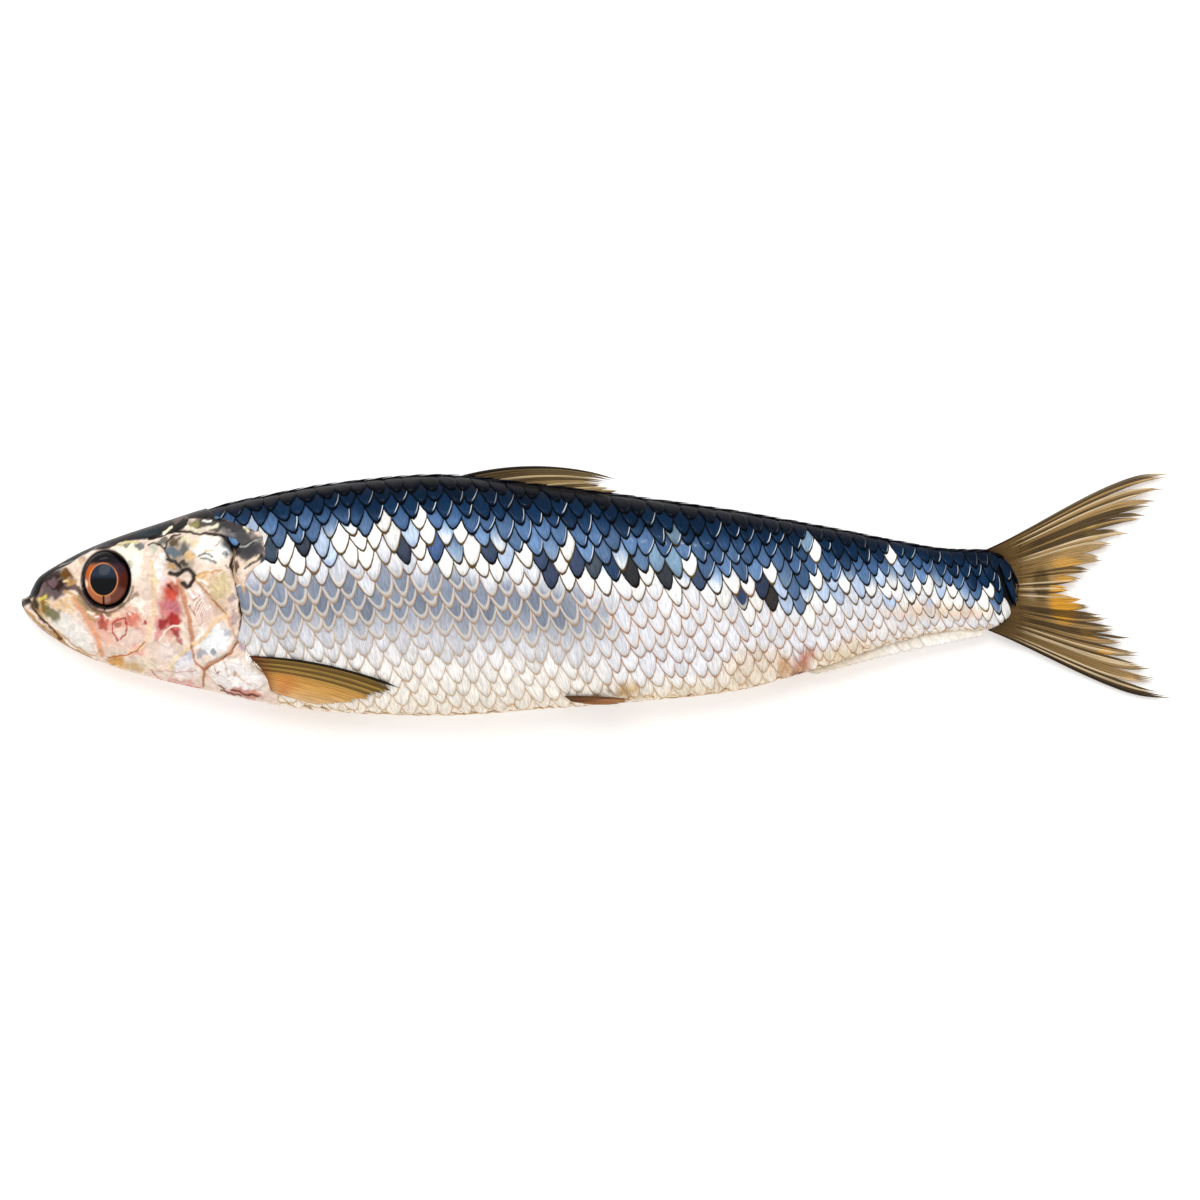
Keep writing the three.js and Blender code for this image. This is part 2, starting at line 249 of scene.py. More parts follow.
def wander(s, h, most):
    """The same points moved about by small waves, so that colours laid by them have uneven edges."""
    aside = np.sin(2.1 * h + 1.3 * np.sin(1.7 * s)) + 0.6 * np.sin(4.9 * h + 3.1 * s)
    up = np.sin(2.3 * s + 1.1 * np.sin(1.9 * h) + 1) + 0.6 * np.sin(5.3 * s - 2.7 * h)
    return s + most * aside, h + most * up


def stroke(s, h, route, width):
    """1 on a line through places in the photograph, falling to 0 at its edges."""
    route = [on_fish(place) for place in route]
    width = width * PIXEL
    nearest = np.full(np.shape(s), 1e9)
    for (x0, y0), (x1, y1) in zip(route, route[1:]):
        dx, dy = x1 - x0, y1 - y0
        along = np.clip(((s - x0) * dx + (h - y0) * dy) / (dx * dx + dy * dy), 0, 1)
        nearest = np.minimum(nearest, np.hypot(s - x0 - along * dx, h - y0 - along * dy))
    return 1 - smooth(nearest, width * STROKE_EDGE[0], width * STROKE_EDGE[1])


# Soft patches of colour under the skin. Places and radii are pixels of the photograph, judged:
# colour, strength, centre, the two radii, and how far the first one leans up, in degrees.
# Some patches are painted light instead: painted shade on the cream behind the eye, painted shadow at the
# lobe's edge, and a painted highlight on the snout.
HEAD_PATCHES = {
    "brown of the snout": ((105, 82, 72), 0.9, (54, 586), (26, 13), 28),
    "olive of the lower lip": ((170, 150, 105), 0.8, (46, 610), (15, 8), -35),
    "salmon of the cheek": ((232, 178, 158), 0.85, (118, 628), (34, 20), 0),
    "rose of the fore cheek": ((222, 150, 130), 0.8, (108, 618), (22, 8), -10),
    "rose round the blood": ((215, 125, 115), 0.85, (172, 610), (13, 32), 0),
    "smoke of the hinge": ((165, 150, 130), 0.85, (182, 556), (18, 20), 0),
    "tan of the fan": ((222, 190, 165), 0.8, (210, 600), (24, 24), 0),
    "dark over the gill": ((58, 54, 52), 0.92, (225, 524), (42, 9), 0),
    "cream throat":((240, 220, 195), 0.85, (145, 664), (15, 6), -8),
    "gold-tan of the throat": ((225, 185, 130), 0.85, (128, 666), (20, 5), -10),
    "gold throat": ((220, 160, 85), 0.9, (117, 661), (9, 6), -10),
    "silver triangle": ((235, 230, 235), 0.9, (186, 663), (13, 9), 30),
    "blue-grey in the triangle": ((190, 190, 205), 0.75, (190, 656), (4, 6), 0),
    "pale throat": ((242, 228, 222), 0.85, (188, 673), (15, 6), 0),
    "rose along the throat": ((225, 160, 150), 0.8, (182, 683), (20, 4), -8),
    "upper jaw plate": ((236, 230, 222), 0.95, (73, 633), (30, 13), -42),
    "olive-grey of the jaw": ((120, 115, 80), 0.9, (53, 614), (10, 7), -35),
    "pale cheek": ((240, 215, 200), 0.9, (130, 636), (16, 10), 0),
    "salmon cheek": ((225, 130, 110), 0.85, (134, 620), (8, 9), 0),
    "rose of the lower cheek": ((235, 170, 155), 0.8, (139, 650), (10, 6), 20),
    "inside the red ring": ((170, 110, 90), 0.85, (120.5, 625.5), (4, 3.5), 0),
    "red under the eye": ((215, 60, 40), 0.92, (103, 616.5), (5, 2.5), 0),
    "brown-red under the eye": ((180, 80, 65), 0.9, (104, 624), (5, 6), 0),
    "dark red fleck": ((180, 50, 45), 0.9, (147, 622), (3.5, 2.5), -60),
    "cream behind the eye": ((245, 240, 225), 0.95, (135, 565), (10, 18), 0),
    "cream top": ((245, 240, 215), 0.95, (127, 552), (8, 6), 0),
    # Painted shade on the cream behind the eye, in olive, green and teal.
    "olive painted shade behind the eye": ((190, 185, 160), 0.85, (133, 566), (3, 5), 0),
    "green painted shade behind the eye": ((110, 120, 95), 0.85, (129, 544.5), (6, 2), 0),
    "teal painted shade behind the eye": ((80, 100, 100), 0.85, (142, 546), (5, 5), 0),
    "tan behind the eye": ((150, 125, 100), 0.8, (135, 598), (7, 3), 50),
    "olive by the eye's foot": ((130, 110, 65), 0.85, (124.5, 604.5), (5, 3), 30),
    "pink before the blood": ((225, 150, 145), 0.85, (160, 630), (4, 14), 0),
    "red-brown over the blood": ((190, 80, 60), 0.85, (175, 588), (7, 7), 0),
    "dark over the blood": ((90, 30, 30), 0.9, (172.5, 587), (3.5, 2.5), -30),
    "hatched blood": ((205, 120, 130), 0.9, (173, 607), (9, 9), 0),
    "blood, top": ((215, 80, 60), 0.9, (173, 596), (7, 6), 0),
    "blood, rear": ((175, 35, 35), 0.92, (176.5, 619.5), (9, 7), -10),
    "blood, fore": ((170, 45, 50), 0.92, (165.5, 624), (5.5, 7), 0),
    "blood, below": ((165, 50, 50), 0.9, (177, 632), (7, 4), -50),
    "blood, tail": ((200, 100, 100), 0.85, (183, 641), (5, 3), -60),
    "pale under the blood": ((240, 222, 214), 0.9, (168, 651), (9, 9), 0),
    "dark red by the hook": ((190, 60, 45), 0.85, (110.4, 620.4), (1.5, 1.5), 0),
    "cream lobe of the fringe": ((245, 215, 185), 0.85, (116.5, 615.8), (5.5, 3.5), 0),
    "cream over the fringe": ((250, 236, 222), 0.85, (141, 603), (8, 5), 0),
    "fan plate": ((232, 204, 188), 0.85, (204, 612), (26, 12), -70),
    "grey-green spot by the strut": ((95, 95, 80), 0.85, (226.2, 608.2), (1.6, 1.2), -40),
    "khaki plate": ((215, 195, 150), 0.9, (223, 586), (12, 15), -20),
    "grey-mauve edge": ((170, 155, 155), 0.85, (234, 597), (3, 6), 0),
    "mauve rear plate": ((185, 160, 155), 0.85, (236, 618), (4, 12), 0),
    "gold of the cover": ((235, 195, 140), 0.9, (203, 577), (9, 4), -10),
    "white of the cover": ((250, 247, 240), 0.97, (213, 549.5), (20, 14), -5),
    "gold tint on the white": ((228, 205, 165), 0.75, (198, 543), (6, 5), 0),
    "blue tint on the white": ((232, 236, 240), 0.8, (228, 548), (5, 8), 0),
    "grey spot": ((140, 142, 142), 0.85, (226.5, 555), (4.5, 3), 0),
    "core of the grey spot": ((80, 80, 82), 0.9, (228, 554.7), (1.5, 1.2), 0),
    "second grey spot": ((110, 112, 112), 0.85, (229, 565.5), (2.5, 1.8), 0),
    "dark gill top": ((95, 80, 60), 0.95, (176, 541.5), (7.5, 5.5), 30),
    "cream triangle": ((235, 225, 190), 0.92, (187, 539.5), (5, 3.5), 0),
    "slate-blue, fore": ((90, 110, 125), 0.88, (175, 552.5), (7.5, 6), 0),
    "slate, rear": ((95, 100, 100), 0.88, (187, 551), (6, 6), 0),
    "ochre oval": ((220, 180, 125), 0.92, (190, 556.5), (6.5, 4), 15),
    "tan oval": ((200, 155, 100), 0.92, (173.5, 565.5), (4.5, 3.5), -15),
    "dark scribble": ((45, 38, 30), 0.88, (186.5, 564.5), (6, 3), -15),
    "dark green temple": ((80, 85, 78), 0.88, (164, 541), (5, 5), 0),
    "pale oval": ((200, 200, 180), 0.88, (155.5, 549), (4.5, 6), 0),
    "white plate": ((245, 240, 235), 0.92, (161, 569), (6, 12), 0),
    "mauve of the white plate": ((225, 205, 205), 0.8, (165.5, 580), (3, 8), 0),
    "white oval": ((250, 248, 244), 0.95, (163.5, 555.5), (4, 4.5), 0),
    "cream-gold knot": ((250, 225, 170), 0.85, (158.4, 581), (3, 4), 0),
    "lower gill plate": ((246, 246, 247), 0.95, (216, 640), (19, 16), 30),
    "blue-grey of the gill plate": ((165, 168, 178), 0.82, (203, 653.5), (6, 4), 0),
    "dark of the gill plate": ((130, 132, 142), 0.82, (214.5, 650.5), (3, 4), 0),
    "upper grey of the plate": ((185, 188, 195), 0.82, (229, 632), (5, 5), 0),
    "peach of the plate": ((235, 205, 190), 0.82, (232, 648), (6, 6), 0),
    "slate shoulder": ((60, 60, 65), 0.96, (242, 543), (22, 15), -20),
    "upper slate": ((75, 72, 76), 0.92, (237, 533), (17, 9), -30),
    "lower slate": ((55, 54, 56), 0.92, (249, 553), (13, 8), 10),
    "slate under the crown": ((70, 66, 68), 0.92, (238, 525), (24, 7), -12),
    "dark before the scales": ((50, 54, 62), 0.9, (262, 550), (7, 10), 0),
    "light on the shoulder": ((125, 120, 122), 0.8, (230, 534), (9, 5), -15),
    "brown of the shoulder": ((70, 50, 30), 0.88, (238.5, 568), (4, 6), 0),
    "cell in the shoulder": ((180, 165, 165), 0.88, (252, 576), (5, 8), 0),
    "navy in the shoulder": ((50, 65, 85), 0.88, (264.5, 561), (3.5, 6), 0),
    "yellow in the shoulder": ((200, 150, 30), 0.95, (265, 571.7), (4, 5.5), 0),
    "flesh behind the gill": ((205, 165, 130), 0.85, (245, 608), (4, 28), 0),
    "triangle behind the gill": ((190, 165, 175), 0.88, (249, 645), (9, 8), 0),
    "dark in the triangle": ((150, 120, 130), 0.8, (249, 639), (3, 4), 0),
    "breast lobe": ((245, 238, 234), 0.97, (238, 675), (33, 16), -14),
    "shadowed edge of the lobe": ((200, 185, 165), 0.75, (258, 668), (10, 6), -40),
    "top of the lobe": ((215, 205, 190), 0.75, (228, 657), (8, 3), 0),
    "rose under the lobe": ((205, 130, 110), 0.85, (245, 693), (20, 5), -10),
    "brown dot": ((150, 85, 60), 0.9, (218.5, 674), (1.2, 1.2), 0),
    "second brown dot": ((190, 120, 70), 0.9, (235.4, 673.5), (1.5, 1.5), 0),
    "dark over the nostril": ((35, 22, 20), 0.92, (50, 577), (16, 6), 30),
    "snout": ((22, 16, 18), 0.97, (32, 588), (7, 11), 0),
    "grey-mauve snout": ((100, 85, 88), 0.88, (52, 591), (12, 7), -25),
    "dark round the nostril": ((40, 22, 16), 0.92, (57, 584), (12, 6), -10),
    "nostril's flap": ((120, 95, 98), 0.92, (53.5, 582), (6.5, 5), 0),
    "light on the snout": ((90, 95, 115), 0.88, (33.7, 589.5), (2, 4), 0),
    "amber by the nostril": ((110, 70, 15), 0.92, (66, 574), (7, 6), 0),
    "golden tan": ((190, 145, 85), 0.88, (73.5, 582), (7, 4), -20),
    "cream before the eye": ((225, 200, 180), 0.95, (76.5, 572.5), (4.5, 8), 0),
    "tan over the cream": ((190, 160, 130), 0.85, (83, 561), (5, 5), 0),
    "bright fleck": ((240, 205, 140), 0.95, (66.5, 581.8), (2, 1.2), -25),
    "lip": ((225, 190, 150), 0.97, (64.5, 604), (10.5, 6), -15),
    "yellow corner": ((220, 200, 90), 0.92, (43, 597), (4, 2.8), 0),
    "olive-gold lip": ((140, 105, 10), 0.92, (44, 607), (3.5, 8), 0),
    "brown lip": ((70, 45, 8), 0.92, (35, 604), (4, 10), 0),
    "tip of the jaw": ((30, 22, 14), 0.95, (24, 602), (5, 6), 0),
}

# Bones, canals, seams and vessels, and some lines of painted highlight and painted shade, in pixels of the
# photograph: colour, strength, width, how far each stands proud of the skin in millimetres, and its route.
HEAD_LINES = {
    "jaw's edge": ((110, 75, 40), 0.9, 3.0, 0.0,
        ((21.5, 607), (28.5, 619), (41, 629.5), (55, 640), (80, 656), (98, 666), (110, 668), (125, 672))),
    "gold of the jaw": ((185, 140, 80), 0.9, 3.0, 0.1,
        ((25, 610), (34, 619), (46, 629), (60, 640), (76, 650), (96, 660))),
    "mouth": ((60, 40, 10), 0.95, 3.0, -0.35,
        ((25.5, 598), (28.7, 602.2), (31.8, 610.6), (40.2, 619), (51.8, 629.5), (61.2, 639))),
    "gold by the mouth": ((185, 130, 60), 0.9, 2.0, 0.1, ((36, 608.5), (45.5, 622), (57, 634), (66, 642))),
    "grey light in the crown": ((150, 145, 145), 0.8, 1.3, 0.0, ((60, 566.5), (82, 556), (97, 548.7))),
    "dark mauve strip": ((90, 66, 66), 0.9, 5.0, 0.08,
        ((64.5, 589.5), (77, 586.5), (82, 593), (90, 602), (98, 609))),
    "olive-tan under the eye": ((150, 125, 90), 0.85, 6.0, 0.0,
        ((79, 597), (86, 606), (96, 612), (110, 614))),
    "tan bone": ((195, 158, 108), 0.88, 3.5, 0.06,
        ((65.5, 592), (74, 594), (80.5, 600.5), (84.5, 609), (90, 616), (96, 621))),
    "cream under the eye": ((240, 215, 190), 0.85, 1.5, 0.0, ((107, 610), (113, 609.5), (119, 607.5))),
    "white of the fringe": ((245, 225, 205), 0.9, 3.5, 0.05, ((89, 612), (95, 613.5))),
    "bright of the fringe": ((255, 252, 250), 0.92, 1.6, 0.05, ((96, 616.8), (99.5, 616.2))),
    "pale by the red": ((250, 225, 210), 0.85, 2.0, 0.0, ((104.5, 614.5), (108, 617))),
    "white hook": ((250, 220, 210), 0.88, 1.4, 0.0, ((108.3, 618.5), (110, 617.3), (112.3, 618))),
    "salmon band": ((245, 190, 160), 0.85, 2.0, 0.04, ((124.6, 608), (132, 608), (141, 608.5))),
    "red stroke": ((215, 100, 75), 0.85, 1.4, 0.0, ((128.2, 612.7), (132.2, 617.3))),
    "second red stroke": ((215, 100, 75), 0.85, 1.4, 0.0, ((130, 611.2), (134.8, 615.3))),
    "white stroke": ((252, 240, 228), 0.88, 1.2, 0.04, ((129.7, 612), (132.7, 614.8))),
    "second white stroke": ((252, 240, 228), 0.88, 1.2, 0.04, ((134, 610.7), (136.8, 613.2))),
    "third white stroke": ((252, 240, 228), 0.88, 1.2, 0.04, ((141.4, 609), (143.9, 611.2))),
    "long ray": ((248, 228, 212), 0.88, 1.5, 0.05,
        ((190.9, 601.2), (197.2, 620.8), (200.7, 627.8), (204.9, 630.6))),
    "dark of the fan": ((110, 60, 55), 0.85, 1.5, -0.04, ((192.3, 605.4), (196.5, 615.2))),
    "first ray": ((255, 250, 240), 0.92, 2.0, 0.06, ((200.7, 579.5), (210.5, 583.7))),
    "second ray": ((250, 238, 222), 0.9, 1.6, 0.05, ((197.9, 580.9), (211.9, 592.1))),
    "third ray": ((245, 228, 225), 0.9, 2.5, 0.05, ((200, 584.4), (205.6, 601.2))),
    "fourth ray": ((248, 232, 220), 0.9, 2.0, 0.05, ((196.5, 584.4), (201, 599.8))),
    "fifth ray": ((252, 244, 240), 0.9, 3.0, 0.05, ((191.6, 591.4), (195.8, 597.7))),
    "sixth ray": ((245, 225, 212), 0.88, 1.5, 0.04, ((204.9, 600.5), (212.6, 606.1))),
    "seventh ray": ((250, 240, 232), 0.9, 1.5, 0.04, ((207, 606.8), (211.9, 610.3))),
    "cheek's fore bone": ((235, 165, 125), 0.9, 5.0, 0.1,
        ((74, 598), (82, 610.6), (90.6, 622), (98, 636), (100.5, 645), (103, 655))),
    "lip's rim": ((235, 195, 140), 0.9, 1.8, 0.06,
        ((45.5, 600.7), (52.8, 604.9), (61.2, 609.6), (69.6, 612.2), (74.9, 609.6), (75.4, 603.3),
         (70.7, 598), (68.6, 597.5))),
    "jaw plate's rim": ((215, 165, 115), 0.88, 1.6, 0.08,
        ((49, 624), (60, 633), (70, 641.5), (79.5, 648.5), (89, 654), (95.5, 655), (99, 652.5), (100, 650),
         (100, 645.5))),
    "cleft under the eye": ((60, 40, 30), 0.9, 1.5, 0.0, ((106, 606), (106.3, 612))),
    "cheek plate's edge": ((240, 205, 165), 0.9, 4.0, 0.14,
        ((154, 562), (155, 582), (156.5, 599), (155.5, 612), (152, 627), (146.7, 643), (139, 649.5),
         (130, 653))),
    "brown under the cheek plate": ((190, 105, 60), 0.88, 1.6, -0.05,
        ((146.5, 641), (139, 650), (130, 654), (119, 656.5), (109, 657))),
    "second plate's edge": ((205, 140, 105), 0.92, 5.0, 0.14,
        ((181, 580), (184.5, 592), (188.5, 606.5), (192.4, 623), (194.6, 641.7))),
    "cover's strut": ((200, 145, 90), 0.9, 2.5, 0.12,
        ((197.3, 579), (208.8, 592.7), (218.3, 603.2), (227.7, 612.7), (230.9, 615.8))),
    "brown of the strut": ((165, 110, 60), 0.85, 1.5, 0.0, ((208.4, 592.1), (225.2, 611))),
    "cover's lower strut": ((240, 205, 160), 0.95, 4.5, 0.14,
        ((231, 616), (217, 620.8), (210.5, 630.7), (206, 637.3), (200.6, 641.7), (195, 643.4))),
    "lower strut's end": ((240, 215, 170), 0.9, 3.0, 0.1,
        ((195, 643.4), (188.5, 649.4), (178.6, 658.2), (171, 669))),
    "seam": ((190, 120, 80), 0.9, 2.2, -0.1,
        ((194, 644), (194, 651.6), (195.7, 659.3), (199.5, 664.8), (203.4, 668.7), (205.6, 671.4), (205, 678),
         (203.4, 688))),
    "cover's lower edge": ((225, 180, 140), 0.88, 3.0, 0.06,
        ((205.7, 668.5), (211.6, 662.6), (225, 658.8), (233, 651.5))),
    "line over the gold": ((205, 150, 85), 0.9, 2.0, 0.05,
        ((197.3, 575.4), (204.6, 572.8), (213, 572.6), (217.2, 570.7), (223.5, 570.7))),
    "fork of that line": ((215, 165, 100), 0.85, 1.8, 0.0, ((213, 572.6), (218.3, 578))),
    "tan dash": ((215, 175, 120), 0.88, 2.0, 0.0, ((206.7, 551.2), (215.1, 550.7))),
    "brown curve": ((170, 140, 90), 0.88, 1.6, 0.0, ((222.5, 540.7), (220.4, 544.4), (217.2, 546.5))),
    # Painted shade on the cover's white, as two grey lines.
    "painted shade on the white": ((90, 88, 82), 0.88, 2.5, 0.0, ((200.4, 556), (206.7, 553.9), (214, 556))),
    "second painted shade on the white": ((70, 66, 60), 0.88, 1.8, 0.0,
        ((202.5, 559.1), (210.9, 559.1), (218.3, 563.3))),
    "first stroke at the hinge": ((35, 30, 28), 0.95, 3.5, -0.05,
        ((168.9, 560.2), (177.3, 561.2), (182.6, 567.5))),
    "hook at the hinge": ((30, 25, 20), 0.97, 5.0, -0.08,
        ((172, 573.8), (178.4, 574.9), (184.7, 570.7), (192, 569.6), (195.7, 574.9), (195.2, 580),
         (192, 585.4), (188.9, 587.5), (185.7, 583.3))),
    "dark gill top's outline": ((25, 22, 20), 0.9, 2.2, -0.05,
        ((167.3, 549.7), (168.4, 542.3), (174.2, 536), (181.5, 533.9))),
    "pale oval's outline": ((25, 22, 22), 0.9, 1.8, 0.0,
        ((150, 545.5), (155.3, 542.8), (161.6, 544.4), (166.8, 548.6), (170, 558))),
    "pale crossing": ((255, 235, 215), 0.95, 1.6, 0.06,
        ((161, 640.6), (165.4, 633), (170.9, 628.5), (175.9, 625.2), (181.9, 625.8), (189.6, 631.8))),
    "red ring": ((175, 40, 35), 0.88, 1.7, 0.0,
        ((119, 641), (113.5, 632), (114, 624), (119, 620), (127, 618), (129, 624), (127, 633), (121, 640))),
    "throat's rose line": ((195, 110, 90), 0.88, 1.8, 0.0,
        ((152, 670.3), (156.6, 675.8), (163, 680), (172, 682.4), (183, 685), (199.5, 687.4))),
    "throat's pale rose line": ((215, 170, 160), 0.8, 1.3, 0.0, ((156.6, 670.3), (183, 672), (198, 670))),
    "first seam of the lobe": ((200, 150, 120), 0.85, 1.2, 0.0,
        ((215.2, 663), (217.3, 670.4), (218.8, 674.6))),
    "second seam of the lobe": ((215, 175, 150), 0.85, 1.4, 0.0,
        ((225.7, 658.8), (227.2, 667.2), (229.9, 675.6))),
    "third seam of the lobe": ((225, 180, 150), 0.85, 1.5, 0.0, ((235.1, 672.5), (243.5, 679.8), (253, 685))),
    "low seam of the lobe": ((225, 190, 160), 0.85, 1.4, 0.0, ((206.8, 672.5), (214.1, 680.9), (220.4, 686))),
    "specks": ((110, 40, 25), 0.9, 2.0, 0.0, ((221.5, 690.3), (227.8, 691.4), (235, 694.5), (241.4, 695.6))),
    "short speck": ((110, 40, 25), 0.9, 2.0, 0.0, ((220.4, 685.6), (224.6, 689))),
    "specks, middle": ((110, 40, 25), 0.9, 2.0, 0.0,
        ((232, 689.8), (239.3, 691.4), (245.6, 694.5), (250.9, 694.5))),
    "specks, rear": ((110, 40, 25), 0.9, 2.0, 0.0, ((250.9, 693.5), (259.3, 696.6))),
    # A painted gold highlight under the crown's edge.
    "painted gold highlight under the crown": ((200, 190, 120), 0.9, 2.0, 0.0, ((118.5, 545.5), (126, 541.5), (136, 543), (139.5, 541))),
    "gill opening, above": ((15, 12, 12), 0.97, 3.0, -0.12,
        ((150, 539.7), (160.5, 536), (171, 532.9), (180.5, 530.8), (192, 532.3), (200.4, 533.9),
         (208.8, 533.9), (217.2, 534.4), (223.5, 536), (229.8, 540.2), (234, 545.5), (236.1, 552.8),
         (234, 560.2), (233, 567.5), (236.1, 574.9), (239.3, 586.4), (241.4, 599), (243.5, 616.8))),
    "gill opening, middle": ((110, 60, 30), 0.95, 2.5, -0.1, ((243.5, 616.8), (242.5, 631.5), (239.3, 642))),
    "gill opening, below": ((190, 120, 80), 0.92, 2.2, -0.1,
        ((239.3, 642), (233, 651.5), (224.6, 658.8), (212, 665), (205.7, 669.3))),
    "rear plate's peach strip": ((225, 175, 140), 0.85, 3.0, 0.04, ((231, 617), (233, 627), (237, 637))),
    # Painted shade along the shoulder's crease, with a pale grey line down its middle.
    "painted shade in the crease": ((20, 18, 20), 0.9, 4.2, -0.05,
        ((230.9, 538), (239.3, 545.5), (245.6, 547.6), (250.8, 544.4), (263.4, 538))),
    "crease in the shoulder": ((170, 170, 165), 0.88, 1.6, 0.0,
        ((230.9, 538), (239.3, 545.5), (245.6, 547.6), (250.8, 544.4), (263.4, 538))),
    "dark under the fork": ((20, 18, 18), 0.9, 2.2, -0.05, ((247, 568), (258, 562), (264, 556))),
    "fork in the shoulder": ((235, 215, 180), 0.88, 2.0, 0.05,
        ((245.6, 565.4), (250.8, 561.2), (257, 560.2), (260.3, 556))),
    "gold ring in the shoulder": ((195, 150, 85), 0.85, 1.8, 0.0,
        ((257, 587.5), (260.3, 578), (266.6, 580), (264.5, 587.5))),
    "stem of the gold ring": ((190, 140, 95), 0.85, 2.0, 0.0, ((258, 588.5), (251, 599))),
    "mauve light in the crown": ((85, 80, 95), 0.85, 2.0, 0.0, ((112, 536), (130, 530), (150, 525.5))),
    # A painted highlight under the crown's edge, over the gill.
    "painted cream highlight over the gill": ((230, 220, 195), 0.95, 4.0, 0.0, ((189, 528), (200, 531), (219, 526))),
    "white dash over the gill": ((245, 245, 240), 0.92, 2.4, 0.0, ((205, 521.5), (212, 521))),
    "olive streak over the gill": ((150, 135, 70), 0.85, 1.6, 0.0, ((222, 515), (230, 520))),
    # A painted highlight at the crown's edge.
    "painted highlight at the crown's edge": ((235, 230, 200), 0.95, 3.0, 0.0, ((165, 533), (173, 528))),
}

# The lower edge of the dark crown, and what lies in the crown, in pixels of the photograph.
CROWN_EDGE = (
    (33, 598), (38, 594), (44, 580), (50, 574), (60, 568.5), (70, 564), (80, 557), (90, 552.5), (100, 550.5),
    (110, 549.5), (116, 546), (120, 543), (140, 540), (150, 539), (160, 536), (170, 532), (180, 531),
    (188, 526), (190, 519), (200, 519), (210, 519.5), (220, 522), (230, 520), (240, 518), (250, 517),
    (260, 516), (280, 516), (300, 513),
)
CROWN_PATCHES = {
    # The teal is a painted sheen on the wet dark crown.
    "teal": ((30, 45, 50), 0.9, (148, 533), (16, 5), 12),
    "brown-mauve": ((110, 90, 85), 0.85, (181, 518), (9, 4), 25),
    "olive-gold over the gill": ((150, 140, 90), 0.95, (196, 524), (6.5, 4), 0),
    "blue over the gill": ((100, 130, 155), 0.88, (220, 518), (6, 2), 0),
    "blue cell": ((110, 150, 185), 0.88, (240, 517), (6, 3), 0),
    "olive under the cell": ((150, 140, 70), 0.88, (241, 522), (5, 3), 0),
    "white cell by the crown": ((245, 243, 238), 0.92, (250.5, 521), (4.5, 3.5), 0),
    "cream under the white cell": ((235, 225, 190), 0.9, (248, 528), (2.5, 4), 0),
}
COVER_RAYS = {"centre": (193, 580), "near": 5, "full": 10, "fades": 34, "far": 45, "from": -84, "to": -48,
              "rays": 10}
BARE_SKIN = (238, 214, 196)
CROWN = {"colour": (17, 16, 20), "strength": 0.98, "edge": (0.88, 1.12), "off_ridge": (0.7, 1.8)}
PATCH_WANDER = 0.22
LINE_WANDER = 0.08
# Round the eye, at shares of its radii: the dark rim, the brown below it, the raised lid, and the socket
# under the ball. Heights are millimetres.
EYE_RIM = {"colour": (26, 17, 17), "strength": 0.97, "from": 1.03, "to": 1.1}
UNDER_EYE = {"colour": (112, 76, 56), "strength": 0.8, "at": 1.15, "width": 0.05}
LID = {"raised": 0.2, "at": 1.12, "width": 0.09}
SOCKET = {"depth": 2.4, "from": 0.94, "to": 1.03}
UNDER_SCALES = 0.75  # how far the bare skin dips behind the line where the scales start
UPPER_LIP = {"forward": 0.95, "from": -1.5, "to": -0.9, "fades": 3.2}
NOSE = {"end": 2.0, "rings": 12}
HEAD_RINGS = 246
HEAD_CAP_RINGS = 4
HEAD_SIDES = 390


def eye_reach(s, h):
    return oval_reach(s, h, EYE["centre"], EYE["radii"], 0)


def paint_cover_rays(colour, s, h):
    """Fine bony rays that fan out over the gill cover from its hinge."""
    centre = on_fish(COVER_RAYS["centre"])
    x, y = (s - centre[0]) / PIXEL, (h - centre[1]) / PIXEL
    reach = np.hypot(x, y)
    turned = (np.degrees(np.arctan2(y, x)) - COVER_RAYS["from"]) / (COVER_RAYS["to"] - COVER_RAYS["from"])
    fan = smooth(turned, 0, 0.06) * (1 - smooth(turned, 0.94, 1))
    fan = fan * smooth(reach, COVER_RAYS["near"], COVER_RAYS["full"])
    fan = fan * (1 - smooth(reach, COVER_RAYS["fades"], COVER_RAYS["far"]))
    wave = np.cos(turned * COVER_RAYS["rays"] * 2 * math.pi + 0.9 * np.sin(reach * 0.27))
    lay(colour, 0.85 * fan * smooth(wave, 0.1, 0.7), (250, 235, 230))
    lay(colour, 0.75 * fan * smooth(-wave, 0.2, 0.8), (185, 120, 100))


def paint_head(s, h):
    colour = np.tile(linear(BARE_SKIN), (len(s), 1))
    moved = wander(s, h, PATCH_WANDER)
    lay_patches(colour, HEAD_PATCHES, *moved)
    back = profile(s, 1)
    edge = np.minimum(curve_through([on_fish(place) for place in CROWN_EDGE], s), back - 0.3)
    crown = 1 - smooth((back - h) / (back - edge), *CROWN["edge"])
    lay(colour, CROWN["strength"] * crown, CROWN["colour"])
    # A mark is laid by its height, so it fades before the ridge and doesn't run over to the other side.
    off_ridge = np.where(h > 0, smooth(half_width(s, h), *CROWN["off_ridge"]), 1)
    lay_patches(colour, CROWN_PATCHES, *moved, off_ridge)
    paint_cover_rays(colour, s, h)
    moved = wander(s, h, LINE_WANDER)
    for rgb, strength, width, _, route in HEAD_LINES.values():
        lay(colour, strength * off_ridge * stroke(*moved, route, width), rgb)
    rim = eye_reach(s, h)
    dark = 1 - smooth(rim, EYE_RIM["from"], EYE_RIM["to"])
    lay(colour, EYE_RIM["strength"] * dark, EYE_RIM["colour"])
    brown = UNDER_EYE["strength"] * bell(rim, UNDER_EYE["at"], UNDER_EYE["width"])
    lay(colour, brown * (h < EYE["centre"][1] - 1), UNDER_EYE["colour"])
    return colour


